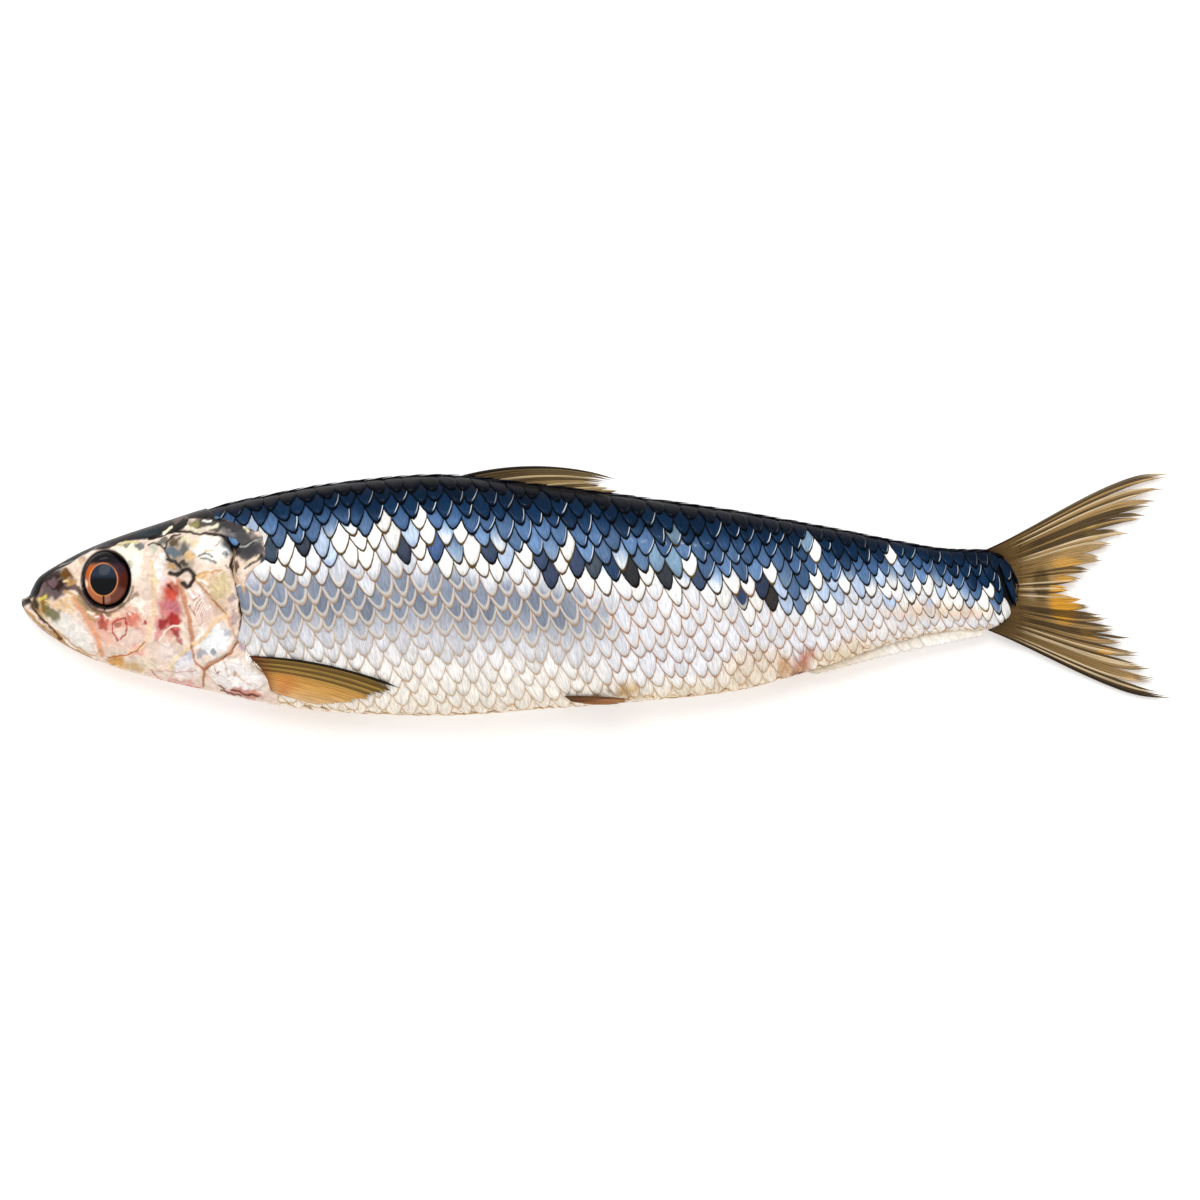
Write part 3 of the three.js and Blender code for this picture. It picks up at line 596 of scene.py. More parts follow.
def head_out(s, h):
    """How far the bare skin stands off: sunk round the eye, proud on bones, under the scales behind."""
    out = np.zeros(len(s))
    for _, _, width, proud, route in HEAD_LINES.values():
        if proud:
            out += proud * stroke(s, h, route, width * 1.3)
    rim = eye_reach(s, h)
    out += LID["raised"] * bell(rim, LID["at"], LID["width"])
    out -= SOCKET["depth"] * (1 - smooth(rim, SOCKET["from"], SOCKET["to"]))
    return out - UNDER_SCALES * smooth(s - curve_through(SCALE_LINE, h), 0.0, 0.5)


def tube_of_rings(rings, sides):
    """A closed globe of rings between two poles. Returns it with each point's ring, from 0, and turn."""
    bm = bmesh.new()
    bmesh.ops.create_uvsphere(bm, u_segments=sides, v_segments=rings, radius=1)
    at = np.array([v.co for v in bm.verts])
    ring = np.rint(np.arccos(np.clip(at[:, 2], -1, 1)) / math.pi * rings).astype(int)
    turn = np.mod(-np.arctan2(at[:, 1], at[:, 0]), 2 * math.pi)
    return bm, ring, turn


def mesh_from(name, bm):
    mesh = bpy.data.meshes.new(name)
    bm.to_mesh(mesh)
    bm.free()
    return mesh


def add_object(name, data):
    made = bpy.data.objects.new(name, data)
    bpy.context.scene.collection.objects.link(made)
    return made


def core_of(s):
    """The middle line inside the skin, at a distance from the snout."""
    return np.stack([s, (profile(s, 1) + profile(s, 2)) / 2, middle_height(s)], -1)


def piece_from(name, bm, points, paint=None, uv=None):
    """Makes a mesh a piece: points in the frame, paint as point attributes, and uv as (name, values)."""
    mesh = mesh_from(name, bm)
    mesh.vertices.foreach_set("co", to_metres(points).ravel())
    for label, values in (paint or {}).items():
        values = np.asarray(values, float)
        if values.ndim == 1:
            mesh.attributes.new(label, "FLOAT", "POINT").data.foreach_set("value", values)
        else:
            rgba = np.column_stack([values, np.ones(len(values))])
            mesh.attributes.new(label, "FLOAT_COLOR", "POINT").data.foreach_set("color", rgba.ravel())
    if uv is not None:
        corners = np.zeros(len(mesh.loops), int)
        mesh.loops.foreach_get("vertex_index", corners)
        mesh.uv_layers.new(name=uv[0]).data.foreach_set("uv", uv[1][corners].ravel())
    mesh.polygons.foreach_set("use_smooth", [True] * len(mesh.polygons))
    mesh.update()
    return add_object(name, mesh)


def new_material(name):
    material = bpy.data.materials.new(name)
    material.use_nodes = True
    tree = material.node_tree
    tree.nodes.clear()
    output = tree.nodes.new("ShaderNodeOutputMaterial")
    shader = tree.nodes.new("ShaderNodeBsdfPrincipled")
    tree.links.new(shader.outputs["BSDF"], output.inputs["Surface"])
    return material, tree, shader


def attribute(tree, name, output="Color"):
    node = tree.nodes.new("ShaderNodeAttribute")
    node.attribute_name = name
    return node.outputs[output]


def plug(tree, socket, value):
    if hasattr(value, "links"):
        tree.links.new(value, socket)
    else:
        socket.default_value = value


def maths(tree, operation, *values):
    node = tree.nodes.new("ShaderNodeMath")
    node.operation = operation
    for socket, value in zip(node.inputs, values):
        plug(tree, socket, value)
    return node.outputs[0]


def product(tree, one, other):
    return maths(tree, "MULTIPLY", one, other)


def span(tree, value, low, high, start=0.0, end=1.0, kind="SMOOTHSTEP"):
    """Goes from start to end as value goes from low to high."""
    node = tree.nodes.new("ShaderNodeMapRange")
    node.interpolation_type = kind
    labels = ("Value", "From Min", "From Max", "To Min", "To Max")
    for label, given in zip(labels, (value, low, high, start, end)):
        plug(tree, node.inputs[label], given)
    return node.outputs["Result"]


def between(tree, value, low, full, falls, gone):
    """1 between full and falls, and 0 below low and above gone."""
    return product(tree, span(tree, value, low, full), span(tree, value, falls, gone, 1.0, 0.0))


def painted(rgb):
    return (*linear(rgb), 1)


def set_inputs(node, **values):
    """Sets inputs by their names, in which underscores stand for spaces."""
    for label, value in values.items():
        node.inputs[label.replace("_", " ")].default_value = value


def flat_map(tree, name):
    """The piece's own UV map, whole and as its two parts."""
    uv = tree.nodes.new("ShaderNodeUVMap")
    uv.uv_map = name
    split = tree.nodes.new("ShaderNodeSeparateXYZ")
    tree.links.new(uv.outputs["UV"], split.inputs[0])
    return uv.outputs["UV"], split.outputs["X"], split.outputs["Y"]


def streaks_along(tree, flat, stretch, apart, **grain):
    """Fine streaks in a UV map, drawn anew for each luck. apart is how far apart the draws lie."""
    stretched = tree.nodes.new("ShaderNodeMapping")
    set_inputs(stretched, Scale=stretch)
    streaks = tree.nodes.new("ShaderNodeTexNoise")
    streaks.noise_dimensions = "4D"
    set_inputs(streaks, Scale=1, Detail=4, **grain)
    tree.links.new(flat, stretched.inputs["Vector"])
    tree.links.new(stretched.outputs["Vector"], streaks.inputs["Vector"])
    tree.links.new(product(tree, attribute(tree, "luck", "Fac"), apart), streaks.inputs["W"])
    return streaks.outputs["Fac"]


def blend_colours(tree, mask, under, over):
    node = tree.nodes.new("ShaderNodeMix")
    node.data_type = "RGBA"
    plug(tree, node.inputs["Factor"], mask)
    plug(tree, node.inputs[6], under)
    plug(tree, node.inputs[7], over)
    return node.outputs[2]


def shade_colour(tree, colour, amount):
    node = tree.nodes.new("ShaderNodeVectorMath")
    node.operation = "SCALE"
    tree.links.new(colour, node.inputs[0])
    plug(tree, node.inputs["Scale"], amount)
    return node.outputs["Vector"]


def add_bump(tree, shader, height, strength, distance):
    bump = tree.nodes.new("ShaderNodeBump")
    set_inputs(bump, Strength=strength, Distance=distance)
    tree.links.new(height, bump.inputs["Height"])
    tree.links.new(bump.outputs["Normal"], shader.inputs["Normal"])


def make_marbling():
    """Uneven flesh under wet skin: a colour made lighter and darker in soft wisps, and a height."""
    group = bpy.data.node_groups.new("wet_marbling", "ShaderNodeTree")
    group.interface.new_socket("Colour", in_out="INPUT", socket_type="NodeSocketColor")
    for label in ("Grain", "Depth"):
        group.interface.new_socket(label, in_out="INPUT", socket_type="NodeSocketFloat")
    group.interface.new_socket("Colour", in_out="OUTPUT", socket_type="NodeSocketColor")
    group.interface.new_socket("Height", in_out="OUTPUT", socket_type="NodeSocketFloat")
    given, result = group.nodes.new("NodeGroupInput"), group.nodes.new("NodeGroupOutput")
    place = group.nodes.new("ShaderNodeTexCoord")
    wisps = group.nodes.new("ShaderNodeTexNoise")
    set_inputs(wisps, Detail=5, Roughness=0.62, Distortion=1.6)
    group.links.new(place.outputs["Object"], wisps.inputs["Vector"])
    group.links.new(given.outputs["Grain"], wisps.inputs["Scale"])
    spread = span(group, wisps.outputs["Fac"], 0.3, 0.72, -1.0, 1.0, "LINEAR")
    tone = maths(group, "MULTIPLY_ADD", spread, given.outputs["Depth"], 1.0)
    group.links.new(shade_colour(group, given.outputs["Colour"], tone), result.inputs["Colour"])
    group.links.new(wisps.outputs["Fac"], result.inputs["Height"])
    return group


marbling = make_marbling()


def make_bare_skin():
    material, tree, shader = new_material("wet_bare_skin")
    wet = tree.nodes.new("ShaderNodeGroup")
    wet.node_tree = marbling
    set_inputs(wet, Grain=560, Depth=0.28)
    tree.links.new(attribute(tree, "tint"), wet.inputs["Colour"])
    tree.links.new(wet.outputs["Colour"], shader.inputs["Base Color"])
    add_bump(tree, shader, wet.outputs["Height"], 0.4, 0.0002)
    set_inputs(shader, Roughness=0.32, Specular_IOR_Level=0.05, Coat_Weight=0.08, Coat_Roughness=0.06)
    return material


head_bm, ring, turn = tube_of_rings(HEAD_RINGS + HEAD_CAP_RINGS, HEAD_SIDES)
nose = NOSE["end"] * (1 - np.cos(math.pi / 2 * np.arange(NOSE["rings"]) / NOSE["rings"]))
cheeks = np.linspace(NOSE["end"], HEAD_END, HEAD_RINGS - NOSE["rings"] + 1)
s = np.concatenate([nose, cheeks, np.full(HEAD_CAP_RINGS, HEAD_END)])[ring]
h = skin(s, turn)[:, 1]
points = skin(s, turn, head_out(s, h) * smooth(s, 0.2, 1.5), head_relief)
core = core_of(s)
cap = np.clip((ring - HEAD_RINGS) / HEAD_CAP_RINGS, 0, 1)[:, None]
points = np.where((ring == 0)[:, None], core, points + (core - points) * cap)
upper_lip = smooth(points[:, 1], UPPER_LIP["from"], UPPER_LIP["to"])
points[:, 0] += UPPER_LIP["forward"] * (upper_lip * (1 - smooth(s, 0.0, UPPER_LIP["fades"])))
head = piece_from("head", head_bm, points, {"tint": paint_head(s, h)})
bare_skin = make_bare_skin()
head.data.materials.append(bare_skin)
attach(head, "root")

# ---- Skin under the scales ----------------------------------------------------------------------
# The trunk's soft skin, in which the scales' roots are bedded. It starts inside the head and ends in
# the tail's root, and shows only between scales: blue-black above, ochre half way down, cream below.

SUNK = 0.42  # how far the skin lies under the scales' outer faces
TRUNK_START = 24.0
TRUNK_RINGS = 150
TRUNK_SIDES = 112

# Where the flank's colours meet, in pixels of the photograph, judged: at a place along the fish,
# the heights at which navy meets steel blue, steel blue meets white, and white meets silver.
COLOUR_LINES = (
    (280, 514, 546, 580), (300, 510, 541, 578), (360, 511, 530, 577), (420, 510, 535, 575),
    (480, 512, 545, 583), (540, 517, 552, 590), (600, 522, 560, 600), (650, 529, 563, 603),
    (700, 536, 575, 600), (760, 543, 583, 605), (800, 548, 592, 610), (850, 557, 578, 605),
    (900, 556, 583, 605), (950, 570, 585, 608), (990, 590, 600, 615), (1005, 600, 608, 620),
)
RIDGE_SHARE = 0.962


def flank_share(s, h):
    back, belly = profile(s, 1), profile(s, 2)
    return np.clip((h - belly) / np.maximum(back - belly, 1e-6), 0, 1)


def colour_zone(s, share):
    """0 at the keel, 1 where silver meets white, 2 white and blue, 3 blue and navy, 4 at the ridge."""
    lines = ([on_fish((row[0], row[k])) for row in COLOUR_LINES] for k in (3, 2, 1))
    silver, white, steel = (flank_share(s, curve_through(line, s)) for line in lines)
    edges = [np.zeros_like(s), silver, white, steel, np.full_like(s, RIDGE_SHARE), np.ones_like(s)]
    marks = [0, 1, 2, 3, 3.8, 4]
    zone = np.zeros_like(s)
    for low, high, a, b in zip(edges, edges[1:], marks, marks[1:]):
        zone += (b - a) * np.clip((share - low) / np.maximum(high - low, 1e-6), 0, 1)
    return zone


def ramp(stops, x):
    """The colour at x on a ramp of (place, screen colour) stops."""
    places = [stop[0] for stop in stops]
    colours = np.array([linear(stop[1]) for stop in stops])
    return np.column_stack([np.interp(x, places, colours[:, k]) for k in range(3)])


BEDDING = (
    (0.0, (206, 146, 84)),
    (0.6, (222, 186, 148)),
    (1.2, (206, 170, 134)),
    (1.8, (112, 86, 50)),
    (2.3, (36, 38, 44)),
    (3.0, (7, 12, 20)),
    (4.0, (12, 12, 18)),
)

trunk_bm, ring, turn = tube_of_rings(TRUNK_RINGS, TRUNK_SIDES)
s = TRUNK_START + (TRUNK_END - TRUNK_START) * np.sin(math.pi / 2 * (ring / TRUNK_RINGS) ** 0.8)
points = skin(s, turn, -SUNK)
core = core_of(s)
drawn_in = smooth(s, TRUNK_START, TRUNK_START + 3)[:, None] * (ring < TRUNK_RINGS)[:, None]
points = core + (points - core) * drawn_in
zones = colour_zone(s, flank_share(s, skin(s, turn)[:, 1]))
trunk = piece_from("trunk_skin", trunk_bm, points, {"tint": ramp(BEDDING, zones)})
trunk.data.materials.append(bare_skin)
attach(trunk, "root")
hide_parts("body")

# ---- Scales -------------------------------------------------------------------------------------
# Thin, clear, slightly domed plates, each rooted in the skin under the one above it, in slanting rows
# down each flank. Blue-black along the back, then steel blue, a broken white band with dark spots,
# silver, and pearl with tan edges. The white band is the silver with a painted reflection of the broad
# light on it, and the grey of the silver holds a painted reflection of the darker room.

SCALE = {"pitch": 2.72, "row": 2.36, "free": 4.0, "root": 1.7, "half": 1.6, "thick": 0.05, "lean": 11}
SCALE_SIDES = 14
SCALE_ROWS = 24
TAILWARD = {"shrink": 0.32, "from": 92, "to": 152}  # how much smaller the scales are by the tail
RISE = 0.36  # how far a scale's free edge stands above its root
DOME = 0.09
MIDDLE = 0.35  # where a scale's visible middle lies, as a share of its free length

# How far one scale may differ from the next: its length and half width as shares, how much its tip
# narrows, its lean in degrees, its place, its free edge's height and slant, and its colour's zone.
UNEVEN = {
    "free": (0.88, 1.12), "half": (0.95, 1.1), "tip": (0.2, 0.42), "lean": (-10, 10), "s": (-0.2, 0.2),
    "down": (-0.25, 0.25), "rise": (-0.015, 0.015), "tilt": (-0.03, 0.03), "zone": (-0.42, 0.42),
}
SHORT_OF_TAIL = (0.4, 4.5)  # how far before the trunk's end a scale is left out, drawn for each

# The white band's near-white is the silver with a painted reflection of the broad light, the grey-violet
# below it is the silver with a painted reflection of the darker room, and the lighter tone at the ridge, in
# faces and edges, is a painted sheen.
SCALE_FACE = (
    (0.0, (248, 234, 214)),
    (0.12, (251, 243, 231)),
    (0.35, (248, 243, 238)),
    (0.55, (214, 214, 220)),
    (0.75, (134, 142, 158)),
    (0.98, (140, 148, 164)),
    (1.12, (226, 227, 232)),
    (1.4, (250, 249, 246)),
    (1.85, (252, 251, 248)),
    (2.02, (165, 188, 215)),
    (2.2, (110, 140, 178)),
    (2.6, (80, 110, 150)),
    (2.9, (48, 78, 116)),
    (3.05, (20, 50, 82)),
    (3.4, (13, 42, 72)),
    (3.66, (9, 24, 42)),
    (3.84, (14, 15, 23)),
    (4.0, (34, 33, 43)),
)
SCALE_EDGE = (
    (0.0, (224, 178, 124)),
    (0.25, (230, 196, 152)),
    (0.6, (232, 200, 166)),
    (1.0, (222, 184, 146)),
    (1.25, (170, 124, 80)),
    (1.7, (104, 80, 42)),
    (2.05, (56, 50, 40)),
    (2.5, (18, 24, 34)),
    (3.0, (4, 7, 12)),
    (3.8, (8, 8, 13)),
    (4.0, (20, 19, 26)),
)
# Behind here the silver scales turn white, with browner edges.
REAR_PALE = {"from": 84, "to": 98, "face": (235, 235, 240), "edge": (195, 130, 80)}
FACE_UNEVEN = ((0, 0.05), (1, 0.16), (1.6, 0.04), (2.2, 0.3), (4, 0.4))  # a scale's own shade, by zone
SPARK = {"luck": 0.45, "weakest": 0.4}  # the luck that a spark of light takes, and the weakest spark

# Dark spots, as (centre, radii, colour), and the scales that differ from those round them, as
# (centre, radii), in pixels of the photograph, judged.
DARK_SPOTS = (
    ((267, 555), (6, 9), (60, 75, 92)), ((307, 556), (4, 8), (25, 40, 65)),
    ((404, 555), (7, 9), (30, 48, 78)),
    ((436, 555), (7, 10), (60, 92, 145)), ((493, 557), (6.5, 9), (45, 68, 100)),
    ((538, 562), (6.5, 6), (60, 80, 115)), ((552, 564), (7, 8.5), (40, 60, 95)),
    ((573, 566), (5, 5), (50, 70, 105)), ((593, 568), (7, 9.6), (60, 75, 90)),
    ((610, 566), (6.5, 6), (45, 70, 105)), ((625, 572), (6.5, 9), (14, 18, 28)),
    ((663, 578), (4.5, 8.5), (30, 38, 52)), ((705, 582), (8.5, 8), (50, 75, 110)),
    ((737, 589), (5, 9), (45, 70, 110)), ((761, 593), (4.5, 9), (25, 50, 85)),
    ((771.5, 604), (2.5, 5), (40, 30, 25)), ((801, 591), (6, 10), (105, 130, 165)),
)
# The white, pale blue, grey-white and teal scales are silver scales with a painted reflection, each catching
# the light its own way.
WHITE_SCALES = (
    ((264, 540.5), (3.5, 6)), ((288.5, 550), (8, 7.5)), ((289, 566), (11.5, 10)), ((301, 545), (5, 5.5)),
    ((342, 538), (8, 7)), ((359, 539), (7, 8)), ((371, 538), (6, 8)), ((349, 561), (8.5, 14)),
    ((362, 553), (6.5, 6)), ((367, 560), (5.5, 4.5)), ((382, 534), (5.5, 9)), ((385, 521), (5.5, 6.5)),
    ((395, 525), (4.5, 7)), ((397, 541), (6.5, 8.5)), ((415, 513), (8.5, 6.5)), ((425, 529), (5.5, 11)),
    ((432, 536), (4, 6)), ((440, 543), (7, 8)), ((447, 558), (6.5, 8)), ((463, 554), (4.5, 4.5)),
    ((464, 538), (8.5, 10)), ((475, 561), (10.5, 14)), ((504, 569), (7, 9)), ((518, 548), (8, 6)),
    ((522, 562), (6, 10)), ((533, 551), (6.5, 4)), ((569, 553), (4, 3.5)), ((569, 568), (7, 10)),
    ((597, 555), (3, 2.5)), ((645, 578), (10, 16)), ((669, 535), (8, 4)), ((681, 565), (11, 10)),
    ((677, 586), (6, 12)), ((723, 587), (9, 12)), ((750, 600), (7.5, 12)), ((768, 571), (8, 9)),
    ((807, 609), (8, 10)), ((810, 551), (7.5, 4.5)), ((810, 576), (6, 8)), ((829, 609), (6, 11)),
    ((887, 560), (8, 4)), ((905, 597), (4.5, 7)), ((916, 586), (6, 8)), ((929, 592), (6, 7.5)),
    ((945, 605), (7, 11)), ((955, 593), (9, 15)), ((985, 603), (7, 16)), ((1002, 615), (7, 6)),
    ((1007, 601.5), (3, 4.5)),
)
PALE_BLUE_SCALES = (
    ((258, 527), (6.5, 11)), ((318, 544), (5.5, 6)), ((330, 551), (7, 8.5)), ((408, 531), (5.5, 10)),
    ((506, 557), (4.5, 6.5)), ((771, 588), (7, 9)), ((785, 593), (7, 12)), ((819, 592), (7, 11)),
    ((826, 581), (6, 7)), ((840, 590), (6, 8)), ((862, 586), (8, 10)), ((880, 581), (5.5, 7)),
    ((890, 594), (6, 10)), ((893, 567), (7, 7)), ((904, 580), (6, 8.5)), ((931, 603), (4.5, 6)),
    ((941, 590), (6, 7)), ((972, 598), (4.5, 7.5)),
)
GREY_WHITE_SCALES = (
    ((318.5, 565), (10, 11)), ((337, 568), (8, 8.5)), ((366, 573), (5.5, 7)), ((385, 557), (9.5, 13)),
    ((418, 566), (10, 8)), ((538, 573), (7, 7.5)), ((851, 601), (8.5, 11)), ((871, 601), (8.5, 14)),
)
TEAL_SCALES = (
    ((658, 556), (7.5, 14)), ((668, 525), (8, 7)), ((673, 549), (7, 12)), ((810, 539), (8, 6.5)),
)
CHOSEN_SCALES = (
    (WHITE_SCALES, (252, 250, 246), (120, 95, 50)),
    (PALE_BLUE_SCALES, (190, 207, 233), (48, 46, 44)),
    (GREY_WHITE_SCALES, (216, 218, 226), (150, 118, 78)),
    (TEAL_SCALES, (122, 150, 174), (60, 50, 36)),
)
FLANK_STAINS = {
    "cream under the hip": ((243, 235, 228), 0.7, (880, 635), (45, 10), 10),
    "cream along the keel": ((240, 222, 195), 0.7, (700, 692), (70, 8), 6),
    "peach before the vent": ((240, 214, 178), 0.6, (755, 665), (40, 18), 10),
    "peach behind the vent": ((238, 212, 172), 0.7, (840, 652), (34, 9), 17),
    "peach before the tail": ((240, 200, 150), 0.6, (940, 612), (60, 8), 0),
    "orange by the vent": ((208, 148, 78), 0.7, (785, 668), (8, 12), 0),
    "vent": ((200, 118, 84), 0.85, (804, 662), (19, 8), 54),
    "dark of the vent": ((100, 55, 45), 0.85, (797, 676), (10, 3.5), 22),
    "gold by the pelvic fin": ((200, 150, 60), 0.8, (628, 690), (14, 8), 15),
    "brown by the pelvic fin": ((140, 90, 30), 0.8, (608, 692), (5, 2.5), 0),
}


def scale_pattern():
    """One scale, flat, one unit wide and long: a domed face of two rings, a plain back, and its rim."""
    bm = bmesh.new()
    bmesh.ops.create_circle(bm, cap_ends=True, segments=SCALE_SIDES, radius=1)
    top = list(bm.faces)
    copied = bmesh.ops.duplicate(bm, geom=top)["geom"]
    back_verts = [v for v in copied if isinstance(v, bmesh.types.BMVert)]
    bmesh.ops.translate(bm, verts=back_verts, vec=(0, 0, -1))
    bmesh.ops.reverse_faces(bm, faces=[f for f in copied if isinstance(f, bmesh.types.BMFace)])
    bmesh.ops.bridge_loops(bm, edges=list(bm.edges))
    bmesh.ops.inset_individual(bm, faces=top, thickness=0.36)
    bmesh.ops.poke(bm, faces=top)
    bmesh.ops.recalc_face_normals(bm, faces=bm.faces)
    return mesh_from("scale_pattern", bm)


def girth_tables():
    """Half the girth at each station, and the turn at each share of it."""
    stations = np.linspace(TRUNK_START, TRUNK_END - 0.02, 400)
    turns = np.linspace(0, math.pi, 97)
    rings = skin(stations[:, None], turns[None, :])
    lengths = np.linalg.norm(np.diff(rings, axis=1), axis=-1).cumsum(axis=1)
    lengths = np.concatenate([np.zeros((len(stations), 1)), lengths], axis=1)
    shares = np.linspace(0, 1, 97)
    table = np.array([np.interp(shares, row / row[-1], turns) for row in lengths])
    return stations, lengths[:, -1], table


STATIONS, HALF_GIRTH, TURN_TABLE = girth_tables()


def half_girth(s):
    return np.interp(s, STATIONS, HALF_GIRTH)


def turn_at(s, down):
    """The turn at a distance down from the ridge along the skin, going on round the ridge and keel."""
    share = np.abs(down) / half_girth(s)
    past = share > 1
    share = np.where(past, 2 - share, share)
    i = np.clip((s - STATIONS[0]) / (STATIONS[1] - STATIONS[0]), 0, len(STATIONS) - 1.001)
    j = np.clip(share, 0, 1) * (TURN_TABLE.shape[1] - 1.001)
    i0, j0 = i.astype(int), j.astype(int)
    u, v = i - i0, j - j0
    fore = TURN_TABLE[i0, j0] * (1 - v) + TURN_TABLE[i0, j0 + 1] * v
    rear = TURN_TABLE[i0 + 1, j0] * (1 - v) + TURN_TABLE[i0 + 1, j0 + 1] * v
    turn = fore * (1 - u) + rear * u
    return np.where(past, 2 * math.pi - turn, turn) * np.where(down < 0, -1, 1)


def scale_size(s):
    return 1 - TAILWARD["shrink"] * smooth(s, TAILWARD["from"], TAILWARD["to"])


def scale_places(side):
    """Each scale's distance from the snout and from the ridge, and 1 for those on the ridge or keel."""
    columns = [TRUNK_START]
    while columns[-1] < TRUNK_END - 0.4:
        columns.append(columns[-1] + SCALE["pitch"] / 2 * float(scale_size(columns[-1])))
    places = []
    for row in range(0 if side > 0 else 1, SCALE_ROWS):
        for i, s in enumerate(columns):
            down = row * SCALE["row"] * float(scale_size(s))
            if (i + row) % 2 == 0 and down < float(half_girth(s)) - 0.4 * SCALE["row"]:
                places.append((s, down, row == 0))
    if side > 0:
        places += [(s, float(half_girth(s)), True) for s in columns[1:-2:2]]
    places = np.array(places, float)
    heights = skin(places[:, 0], turn_at(places[:, 0], places[:, 1]))[:, 1]
    return places[places[:, 0] > curve_through(SCALE_LINE, heights) - 1.6]


def photo_oval(s, h, centre, radii):
    """How far out each point lies on an upright oval of the photograph: 1 on its edge."""
    return oval_reach(s, h, on_fish(centre), (radii[0] * PIXEL, radii[1] * PIXEL), 0)


def chosen_scales(ovals, s, h):
    """1 for each scale whose middle lies in one of the ovals, and for the one nearest its centre."""
    chosen = np.zeros(len(s))
    for centre, radii in ovals:
        reach = photo_oval(s, h, centre, radii)
        chosen[reach < 1] = 1
        if reach.min() < 2.5:
            chosen[reach.argmin()] = 1
    return chosen


def paint_scales(s, h, zone, chosen, dark):
    face = ramp(SCALE_FACE, zone)
    edge = ramp(SCALE_EDGE, zone)
    pale = smooth(s, REAR_PALE["from"], REAR_PALE["to"])
    pale = pale * (1 - smooth(zone, 1.0, 1.5)) * smooth(zone, 0.1, 0.35)
    lay(face, 0.9 * pale, REAR_PALE["face"])
    lay(edge, 0.8 * pale, REAR_PALE["edge"])
    for mask, (_, face_rgb, edge_rgb) in zip(chosen, CHOSEN_SCALES):
        lay(face, mask, face_rgb)
        lay(edge, 0.85 * mask, edge_rgb)
    lay_patches(face, FLANK_STAINS, s, h)
    for mask, (_, _, rgb) in zip(dark, DARK_SPOTS):
        lay(face, 0.97 * mask, rgb)
        lay(edge, 0.95 * mask, (8, 10, 16))
    return face, edge


def draw_scales(name, side, seed):
    rng = np.random.default_rng(seed)
    places = scale_places(side)
    places = places[places[:, 0] < TRUNK_END - rng.uniform(*SHORT_OF_TAIL, len(places))]
    pattern = scale_pattern()
    local = np.array([v.co for v in pattern.vertices])
    bm = bmesh.new()
    for _ in places:
        bm.from_mesh(pattern)
    count, corners = len(places), len(local)

    def each(low, high):
        return np.repeat(rng.uniform(low, high, (count, 1)), corners, 1)

    s0, down0, single = (np.repeat(places[:, k][:, None], corners, 1) for k in range(3))
    across, along, layer = (np.repeat(local[:, k][None, :], count, 0) for k in range(3))
    size = scale_size(s0)
    tipward = np.clip(along, 0, 1)
    a = along * np.where(along > 0, SCALE["free"] * each(*UNEVEN["free"]), SCALE["root"]) * size
    b = across * SCALE["half"] * each(*UNEVEN["half"]) * size * (1 - each(*UNEVEN["tip"]) * tipward**1.6)
    lean = np.radians(SCALE["lean"] + each(*UNEVEN["lean"])) + single * math.radians(90 - SCALE["lean"])
    s = s0 + a * np.sin(lean) + b * np.cos(lean) + each(*UNEVEN["s"])
    s = np.clip(s, TRUNK_START, TRUNK_END - 0.05)
    down = down0 + a * np.cos(lean) - b * np.sin(lean) + each(*UNEVEN["down"])
    rise = RISE * smooth(a, -SCALE["root"], SCALE["free"] * size) + each(*UNEVEN["rise"])
    tilt = across * each(*UNEVEN["tilt"])
    dome = DOME * (1 - across**2) * (1 - tipward**2)
    out = np.minimum(rise - RISE - 0.02 + tilt + dome, 0.06) + layer * SCALE["thick"]
    points = skin(s, turn_at(s, down) * side, out)

    # A scale takes its colour from its middle more than from each point's own place, so it differs
    # from its neighbours, most of all in the band where white meets blue.
    h = points[..., 1]
    h0 = skin(s0, turn_at(s0, down0 + MIDDLE * SCALE["free"] * size * (1 - single)))[..., 1]
    zone = colour_zone(s, 0.4 * flank_share(s, h) + 0.6 * flank_share(s0, h0))
    zone = np.clip(zone + each(*UNEVEN["zone"]) * bell(zone, 1.9, 0.75), 0, 4).ravel()
    middle_s = s0[:, 0] + MIDDLE * SCALE["free"] * size[:, 0] * math.sin(math.radians(SCALE["lean"]))
    chosen = [np.repeat(chosen_scales(row[0], middle_s, h0[:, 0]), corners) for row in CHOSEN_SCALES]
    dark = [np.repeat(chosen_scales([row[:2]], middle_s, h0[:, 0]), corners) for row in DARK_SPOTS]
    face, edge = paint_scales(s.ravel(), h.ravel(), zone, chosen, dark)
    uneven = np.interp(zone, *zip(*FACE_UNEVEN))
    face = np.clip(face * (1 + each(-1, 1).ravel() * uneven)[:, None], 0, 1)
    luck = each(0, 1).ravel()
    spark = (luck > SPARK["luck"]) * smooth(zone, 1.9, 2.4) * (1 - smooth(zone, 3.35, 3.75))
    spark = spark * each(SPARK["weakest"], 1).ravel()
    paint = {"face": face, "edge": edge, "luck": luck, "spark": spark, "zone": zone}
    bpy.data.meshes.remove(pattern)
    flat = np.column_stack([across.ravel(), along.ravel()])
    return piece_from(name, bm, points.reshape(-1, 3), paint, ("scale", flat))


